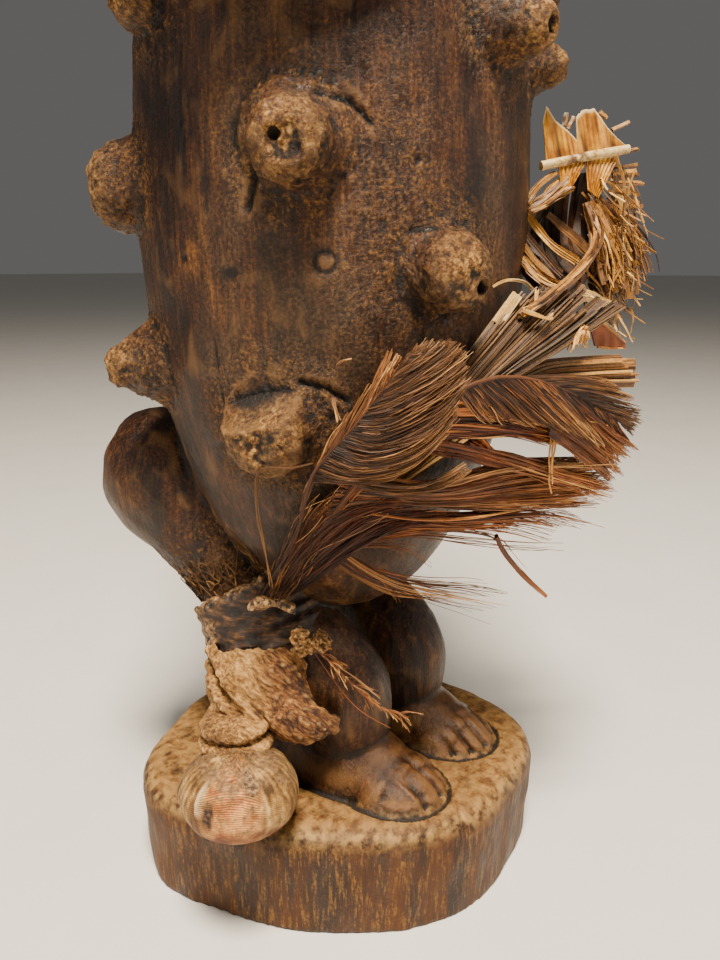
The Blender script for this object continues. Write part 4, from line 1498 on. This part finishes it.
# Palm leaf dried in the air and cut: stiff, half-dull fibre, grey-brown where old, orange where fresh
dry_palm, tree, shader = finish("dry grey-brown palm leaf", 0.6)
tint, fresh = (add(tree, "Attribute", attribute_name=name) for name in ("tint", "red"))
edge = add(tree, "Math", {0: add(tree, "Attribute", attribute_name="side")}, operation="ABSOLUTE")
streaks = cloud(tree, 1.1, 4, (1, 1, 1))
shade = weighed(tree, (tint, 0.45), (streaks, 0.5))
old = add(tree, "ValToRGB", {0: shade}, stops=[(0.2, "#1a0e04"), (0.42, "#472b10"), (0.62, "#785124"),
                                               (0.85, "#b98a43")])
new = add(tree, "ValToRGB", {0: shade}, stops=[(0.2, "#7a3b08"), (0.42, "#bf7620"), (0.62, "#e0ac55"),
                                               (0.85, "#f5dc9c")])
palm_colour = add(tree, "Mix", {0: fresh, 6: old, 7: new}, data_type="RGBA")
share = add(tree, "ValToRGB", {0: edge}, stops=[(0.8, 0.0), (1.0, 0.45)])
palm_colour = add(tree, "Mix", {0: share, 6: palm_colour, 7: "#b38c59"}, data_type="RGBA")
tree.links.new(palm_colour, shader.inputs["Base Color"])
relief = add(tree, "Bump", {"Height": streaks, "Distance": 0.2 / 1000, "Strength": 1})
tree.links.new(relief, shader.inputs["Normal"])
dress(palm, dry_palm, "palm", "palm_strips")


# Cut strips. A flat bundle of stiff leaf ribs laid side by side behind the long feather, all sawn
# off square.
CUT = [
    [(-31.7, -11.9, 118), (-28.5, -34.9, 142.6), (-10.1, -55.2, 166.2), (9.4, -64.8, 177.9),
     (29.1, -74.6, 179.4), (48.1, -85.1, 179.2)],
    [(-31.7, -11.9, 118), (-28.5, -34.9, 141.7), (-9.6, -56, 163.8), (9.8, -65.4, 174.7),
     (30.7, -75.2, 175.6), (49.5, -85.4, 175)],
    [(-31.7, -11.9, 118), (-28.5, -34.9, 140.8), (-9.1, -56.8, 160.9), (10.2, -66.1, 171.1),
     (31.3, -76, 171.2), (50.6, -85.2, 170)],
]
cut = weave_mesh("square_cut_ribs", [
    fibres(CUT, 11, 2.3, 1.3, 81, points=24, ragged=0.05, lock=0, wander=0.3, puff=0.7, taper=1.0,
           roll=0.3, red=0.15),
    fibres(CUT, 22, 0.8, 0.6, 82, points=24, ragged=0.08, start=0.1, lock=0.2, wander=0.6, puff=1.3,
           taper=0.9, red=0.5),
])
dress(cut, dry_palm, "palm", "cut_strips")


# Straw tuft. A tangle of dry straw and split leaf at the top of the strips: looped ribbons in
# front, slanting strips inside and short broken straws standing out to the figure's left.
LOOP_RIBBON = [
    [(-1.3, -65, 194.1), (6.4, -69.3, 199.1), (19.1, -72.2, 205.4), (32.6, -72.6, 212.3),
     (38.8, -71, 218.4), (40.3, -68, 223.2), (39.1, -64.4, 225.9)],
    [(-0.5, -66.2, 193), (8.5, -70.6, 198.3), (21.4, -73.9, 204.2), (35.9, -74, 211.8),
     (40.9, -72.5, 218.4), (42.1, -68.9, 224.5), (40.7, -65, 227.5)],
]
HAIR_LOOP = [
    [(-1.8, -57, 201.3), (0.5, -58.6, 202.7), (4.2, -60.6, 203.2), (9, -62.4, 202.3),
     (13.5, -63.7, 199.7), (21.3, -68.3, 197.2)],
]
DIAGONALS = [
    [(27.4, -53.9, 222.7), (28.8, -59.6, 215.6), (30.8, -64.5, 211.2), (34, -69.3, 207.9)],
    [(25.9, -53.5, 218.3), (26.7, -58.4, 212.7), (27.5, -63.1, 208.2), (28.8, -67, 204.7)],
    [(24.7, -53.5, 214.8), (24.1, -58, 209.4), (24.3, -61.9, 205.9), (25.3, -65.3, 202.4)],
    [(33.8, -58.2, 222.6), (35.9, -63.2, 218.4), (37.7, -67.6, 214.8), (39.9, -70.9, 210.7)],
]
SHEATH = [
    [(19.9, -55.3, 208.5), (19, -59.4, 204.2), (19.7, -64, 200.7), (22.6, -68.4, 199)],
    [(20.7, -56.5, 210), (21.2, -60.9, 206.2), (21.7, -65.3, 203.3), (25.7, -69.5, 201.8)],
]
CURVES = [
    [(33.8, -60, 234.5), (29.8, -57.6, 231.7), (26.2, -55.8, 228.1), (24.7, -55.3, 224)],
    [(36, -61.5, 233.1), (32.3, -59.6, 230.6), (29.4, -58.7, 227), (28.2, -58.7, 223.5)],
    [(24.5, -55.1, 223.7), (27.6, -57.9, 224.9), (30.6, -60.5, 226.4), (34.8, -63.3, 228)],
    [(24.7, -55.3, 224.9), (29.3, -58.7, 227.6), (33.7, -61.6, 230.6), (37.6, -63.9, 232.6)],
]
RIGHT_FALL = [
    [(39.2, -68.2, 225.8), (38.5, -70.7, 219.2), (37.6, -72.9, 211.8), (37.5, -74.7, 204.4),
     (37.5, -76.4, 198.7)],
    [(41.9, -68.5, 226.5), (43.2, -72.3, 219.4), (43.9, -75.2, 211.9), (44.3, -77.6, 204.3),
     (44.5, -79.6, 197.3)],
    [(44.7, -69.1, 227.3), (47.9, -73.9, 221), (50.3, -77.5, 214.1), (50.7, -80, 205.8), (49.6, -82, 196)],
    [(47.1, -69.2, 228.3), (53.2, -74.7, 223), (57.3, -79.1, 216.7), (59.4, -82.2, 210.5),
     (60.4, -83.8, 203.9)],
]
STUB_FAN = [
    [(51.3, -71.8, 236.8), (58.8, -77.8, 238.2)],
    [(50.2, -72.1, 235), (58.1, -78.5, 236.1)],
    [(50.4, -72.3, 233.7), (59.5, -78.8, 235)],
    [(52.4, -73.5, 232.3), (60, -79.6, 232.1)],
    [(52.5, -73.7, 230.2), (59.8, -79.3, 228.9)],
    [(51.2, -73.6, 228.4), (58.7, -79.5, 227)],
    [(52.9, -74.2, 226.1), (60.3, -80, 225.5)],
    [(54.4, -74.7, 241.6), (58.8, -77.8, 242.8)],
    [(53.7, -70.1, 248.3), (58.8, -74.1, 251)],
    [(40.6, -59.3, 248.7), (41.9, -59.6, 252.6)],
    [(41.2, -60.3, 247.8), (43.2, -61.4, 251.4)],
    [(48.4, -67.5, 253), (50.7, -69.1, 251.2)],
]
STICK = [
    [(48, -72.3, 232.6), (49.3, -74.3, 230.3), (50.2, -75.6, 227), (50.9, -76.7, 222.3)],
]
TOP_CURL = [
    [(24.5, -55.1, 223.7), (26.7, -58.3, 225.4), (31.1, -61.4, 229.3), (34.6, -63, 233.5)],
    [(24.8, -57.3, 222.5), (28.4, -60.8, 224.9), (31.6, -63.8, 227.5), (34.8, -66.9, 229.3)],
]
POCKET = [
    [(32, -51.9, 225.4), (29, -50.9, 219.4), (24.9, -51.9, 213.3), (22.3, -55.3, 206.5), (23.7, -61, 200)],
    [(37, -55.7, 228.2), (33.6, -54.2, 220.4), (30.6, -55.1, 213.4), (28.5, -59.3, 206.5),
     (30.2, -65.5, 200.5)],
    [(40.7, -59.5, 233.6), (40, -58.5, 222.6), (37.4, -60, 213.8), (36.5, -64, 207.1),
     (37.8, -69.7, 202.2)],
    [(48.7, -66.2, 235.7), (48.2, -65.4, 222.8), (47.5, -66.1, 215.1), (45.9, -69.1, 208.3),
     (45.6, -74.1, 202.8)],
]
CURL_BIT = [
    [(7.1, -66.7, 200.2), (3.1, -67.9, 196.2), (-1.5, -66.5, 195), (1.4, -68.9, 193.5),
     (5.3, -71.2, 192.5), (9.2, -71.7, 194.9)],
]
STRIP_TONES = ((0.7, 1.1), (0, 0.35), (0.3, 0.8), (0.1, 0.5))
straw_rng = np.random.default_rng(90)
loose = []
for i in range(210):
    spot = np.array((50, -75, 210)) + np.clip(straw_rng.normal(0, 1, 3), -1.8, 1.8) * np.array((5, 4, 12))
    way = np.array((0.30, -0.45, -0.85)) + straw_rng.normal(0, 0.38, 3)
    way /= np.linalg.norm(way)
    far = straw_rng.uniform(2.5, 8)
    bow = np.clip(straw_rng.normal(0, 1.0, 3), -2, 2)
    loose.append(fibres([[tuple(spot - way * far), tuple(spot + bow), tuple(spot + way * far)]], 1,
                        straw_rng.uniform(0.25, 0.8), straw_rng.uniform(0.15, 0.3), 200 + i, points=7,
                        ragged=0, wander=0.2, puff=0.2, taper=0.7, roll=1.5, tone=(0, 1.15)))
core = ball((48, -72, 208), (4.5, 4.0, 15), (0, -14, 0), 48, 32)
places, directions = corners(core), normals(core)
place_corners(core, places + directions * (1.6 * lumps(places, 4, 3.8, 3, (1, 1, 0.4)))[:, None])
for key in ("tint", "along", "red", "side"):
    paint(core, key, np.zeros(len(places)))
straw = weave_mesh("straw_tangle", [
    fibres(POCKET, 30, 2.8, 0.3, 107, points=16, ragged=0.05, lock=0, wander=0.5, puff=1.2, taper=0.9,
           roll=0.5, tone=(-0.2, 0.3)),
    fibres(LOOP_RIBBON, 16, 0.8, 0.35, 91, points=24, ragged=0.1, lock=0.2, wander=0.9, puff=1.6,
           taper=0.8, tone=(-0.1, 1.1)),
    fibres(HAIR_LOOP, 4, 0.35, 0.3, 92, points=16, ragged=0.1, spread=0.6, wander=0.6, tone=(0.6, 1.2)),
    fibres(CURL_BIT, 3, 0.9, 0.3, 109, points=16, ragged=0.1, spread=0.9, wander=0.4, taper=0.8,
           tone=(0.7, 1.2)),
    *[fibres([guide], 3, 1.7, 0.4, 93 + i, ragged=0.05, spread=1.4, wander=0.4, taper=0.9,
             roll=0.4, section=PLEAT, tone=STRIP_TONES[i]) for i, guide in enumerate(DIAGONALS)],
    fibres(SHEATH, 44, 0.45, 0.25, 98, ragged=0.15, lock=0.2, wander=0.5, puff=0.7, taper=0.8,
           tone=(0.1, 1.1)),
    *[fibres([guide], 6, 0.8, 0.3, 120 + i, ragged=0.1, spread=1.3, wander=0.6, taper=0.7,
             tone=(0.1, 1.1)) for i, guide in enumerate(CURVES)],
    fibres(TOP_CURL, 14, 0.8, 0.3, 108, ragged=0.15, lock=0.1, wander=0.5, puff=1.2, taper=0.7,
           tone=(0, 1)),
    fibres(RIGHT_FALL, 16, 2.6, 0.5, 103, ragged=0.25, lock=0, wander=0.8, puff=1.4, taper=0.8,
           section=PLEAT, tone=(0, 0.6)),
    fibres(RIGHT_FALL, 210, 0.5, 0.22, 104, ragged=0.45, start=0.35, lock=0.5, locks=26,
           wander=1.3, puff=2.4, taper=0.6, roll=1.0, tone=(-0.1, 1.1)),
    *[fibres([guide], 2, 1.1, 0.5, 130 + i, points=6, ragged=0.1, spread=0.5, wander=0.2, taper=0.9,
             roll=0.5, tone=(0, 1)) for i, guide in enumerate(STUB_FAN)],
    fibres(STICK, 1, 1.6, 1.2, 106, points=12, ragged=0, wander=0, puff=0, taper=0.8, tone=(0.9, 1.0)),
    *loose,
])
straw = join([straw, core])

# Grass stems, dried and broken: waxy pale gold skins, dark brown where split or in the shade
dry_straw, tree, shader = finish("dry broken straw", 0.5)
shade = weighed(tree, (add(tree, "Attribute", attribute_name="tint"), 0.6),
                (cloud(tree, 1.8, 4, roughness=0.65), 0.4))
straw_colour = add(tree, "ValToRGB", {0: shade},
                   stops=[(0.16, "#1b0d04"), (0.32, "#492a0d"), (0.5, "#855720"), (0.7, "#c08c3e"),
                          (0.92, "#efcf86")])
tree.links.new(straw_colour, shader.inputs["Base Color"])
dress(straw, dry_straw, "straw", "straw_tuft")


# Palm leaf. A fresh-cut, folded piece of orange palm leaf stuck in the straw: two pointed flaps
# over a fold, a pleated part hanging below it.
LEAF_TOP = [(31.2, -56, 249.2), (31.5, -56.6, 253.6), (34.1, -58.7, 249.6), (37.2, -61.5, 246.9),
            (40, -63.8, 244), (39.5, -63.2, 250.8), (41.4, -64.2, 252.9), (44.4, -66.9, 253.6),
            (48.3, -70.1, 248.5), (51.1, -72.5, 245.5), (54, -75, 243)]
LEAF_FOOT = [(32.1, -57.4, 236.5), (36.4, -62, 238), (43.3, -67.1, 239.5), (54, -75.1, 241.8)]
FLUTE_TOP = [
    [(34.1, -60.4, 237), (37.6, -63.8, 237.7), (41, -67.2, 238.7)],
    [(40.7, -66.7, 238.7), (45.5, -70.4, 239.8), (50.5, -74.3, 240.9)],
]
FLUTE_FOOT = [
    [(33.2, -62.6, 227.7), (34.3, -63.4, 228.6), (35.7, -64.6, 230.6)],
    [(39.4, -68.4, 229.6), (41.3, -69.5, 228.3), (43.1, -70.4, 227.4)],
]


leaf = join([panel("folded_leaf", LEAF_TOP, LEAF_FOOT, 120, 14, 3, 0.8, 0.4),
             panel("left_flutes", FLUTE_TOP[0], FLUTE_FOOT[0], 61, 14, 6, 1.2, 0.35),
             panel("right_flutes", FLUTE_TOP[1], FLUTE_FOOT[1], 71, 14, 7, 1.2, 0.35)])
# A leaf dried quickly: its waxy skin still shines, orange with fine veins, cream along the cut edge
orange_leaf, tree, shader = finish("orange dry leaf", 0.42)
veins = cloud(tree, 1.1, 4, (1, 1, 0.10), along=(-0.12, 0.2, 1))
patches = weighed(tree, (cloud(tree, 6, 4, roughness=0.6), 0.45))
leaf_colour = add(tree, "ValToRGB", {0: weighed(tree, (veins, 0.55), (patches, 1))},
                  stops=[(0.36, "#5c2f00"), (0.47, "#945b06"), (0.57, "#be8515"), (0.68, "#e1ae3e")])
folds = add(tree, "ValToRGB", {0: add(tree, "Attribute", attribute_name="fold")},
            stops=[(0.05, 0.9), (0.45, 0.0)])
share = weighed(tree,
                (folds, add(tree, "ValToRGB", {0: add(tree, "Attribute", attribute_name="down")},
                            stops=[(0.1, 0.3), (0.8, 1.0)])))
leaf_colour = add(tree, "Mix", {0: share, 6: leaf_colour, 7: "#3a1604"}, data_type="RGBA")
share = add(tree, "ValToRGB", {0: add(tree, "Attribute", attribute_name="down")},
            stops=[(0.0, 0.85), (0.09, 0.0)])
leaf_colour = add(tree, "Mix", {0: share, 6: leaf_colour, 7: "#f3dca8"}, data_type="RGBA")
tree.links.new(leaf_colour, shader.inputs["Base Color"])
relief = add(tree, "Bump", {"Height": veins, "Distance": 0.3 / 1000, "Strength": 1})
tree.links.new(relief, shader.inputs["Normal"])
dress(leaf, orange_leaf, "leaf", "palm_leaf")


# Reed. A short pale reed laid across the leaf's fold, split and stained near its middle.
REED = [(29.8, -56.7, 236.3), (41.3, -67.7, 239.6), (51.7, -76.1, 242.1)]
twelve = [(math.cos(a), math.sin(a)) for a in np.arange(12) * math.pi / 6]
reed = weave_mesh("pale_reed",
                  [fibres([REED], 1, 2.5, 2.5, 121, points=30, ragged=0, lock=0, wander=0, puff=0, roll=0,
                          taper=0.97, section=twelve)])
# A reed, peeled and split: smooth and pale, with a brown stain near its middle
pale_reed, tree, shader = finish("pale split reed", 0.4)
reed_colour = add(tree, "ValToRGB", {0: cloud(tree, 1.6, 5, roughness=0.65)},
                  stops=[(0.34, "#80612f"), (0.46, "#c6a566"), (0.68, "#e6cf98")])
stain = weighed(tree,
                (add(tree, "ValToRGB", {0: add(tree, "Attribute", attribute_name="along")},
                     stops=[(0.27, 0.0), (0.32, 1.0), (0.47, 1.0), (0.52, 0.0)]),
                 add(tree, "ValToRGB", {0: cloud(tree, 2.2, 4)}, stops=[(0.42, 0.0), (0.52, 0.95)])))
reed_colour = add(tree, "Mix", {0: stain, 6: reed_colour, 7: "#5d3b1f"}, data_type="RGBA")
tree.links.new(reed_colour, shader.inputs["Base Color"])
dress(reed, pale_reed, "straw", "reed")


# Frayed threads. Loose brown threads and fibre of the band's torn edge, stuck to the leg above it
# by the crust.
LEG_WAY = np.array((0.02, 0.5, 0.87))
RIM_MIDDLE = np.array((-19, 22, 100.5))
facing = np.array((*VIEW_FRONT, 0))
facing = facing - LEG_WAY * (facing @ LEG_WAY)
facing /= np.linalg.norm(facing)
beside = np.cross(LEG_WAY, facing)
thread_rng = np.random.default_rng(141)
threads = []
for i in range(150):
    angle = math.radians(thread_rng.uniform(-115, 115))
    spot = RIM_MIDDLE + 20.5 * (facing * math.cos(angle) + beside * math.sin(angle))
    spot = spot + LEG_WAY * thread_rng.uniform(-1, 7)
    way = LEG_WAY + thread_rng.normal(0, 0.5, 3)
    far, rise = thread_rng.uniform(2.5, 8), thread_rng.uniform(0.05, 0.5)
    line = []
    for step in np.linspace(0, 1, 5):
        _, near, outward, _ = figure.closest_point_on_mesh(Vector(spot + way * far * step) / 1000)
        line.append(tuple(np.array(near) * 1000 + np.array(outward) * (0.2 + rise * step)))
    threads.append(fibres([line], 1, thread_rng.uniform(0.25, 0.6), 0.2, 300 + i, points=9, ragged=0,
                          wander=0.4, puff=0.3, taper=0.5, roll=1.0))
frayed = weave_mesh("frayed_threads", threads)
# Plant fibre unpicked from the cloth: dull brown threads with pale ends
bark_thread, tree, shader = finish("frayed brown fibre", 0.75, Specular_IOR_Level=0.3)
shade = weighed(tree, (add(tree, "Attribute", attribute_name="tint"), 0.6), (cloud(tree, 2.0, 4), 0.4))
thread_colour = add(tree, "ValToRGB", {0: shade},
                    stops=[(0.2, "#170b04"), (0.45, "#3f2812"), (0.65, "#6f4d27"), (0.85, "#a07a45")])
tree.links.new(thread_colour, shader.inputs["Base Color"])
dress(frayed, bark_thread, "dark_cloth")
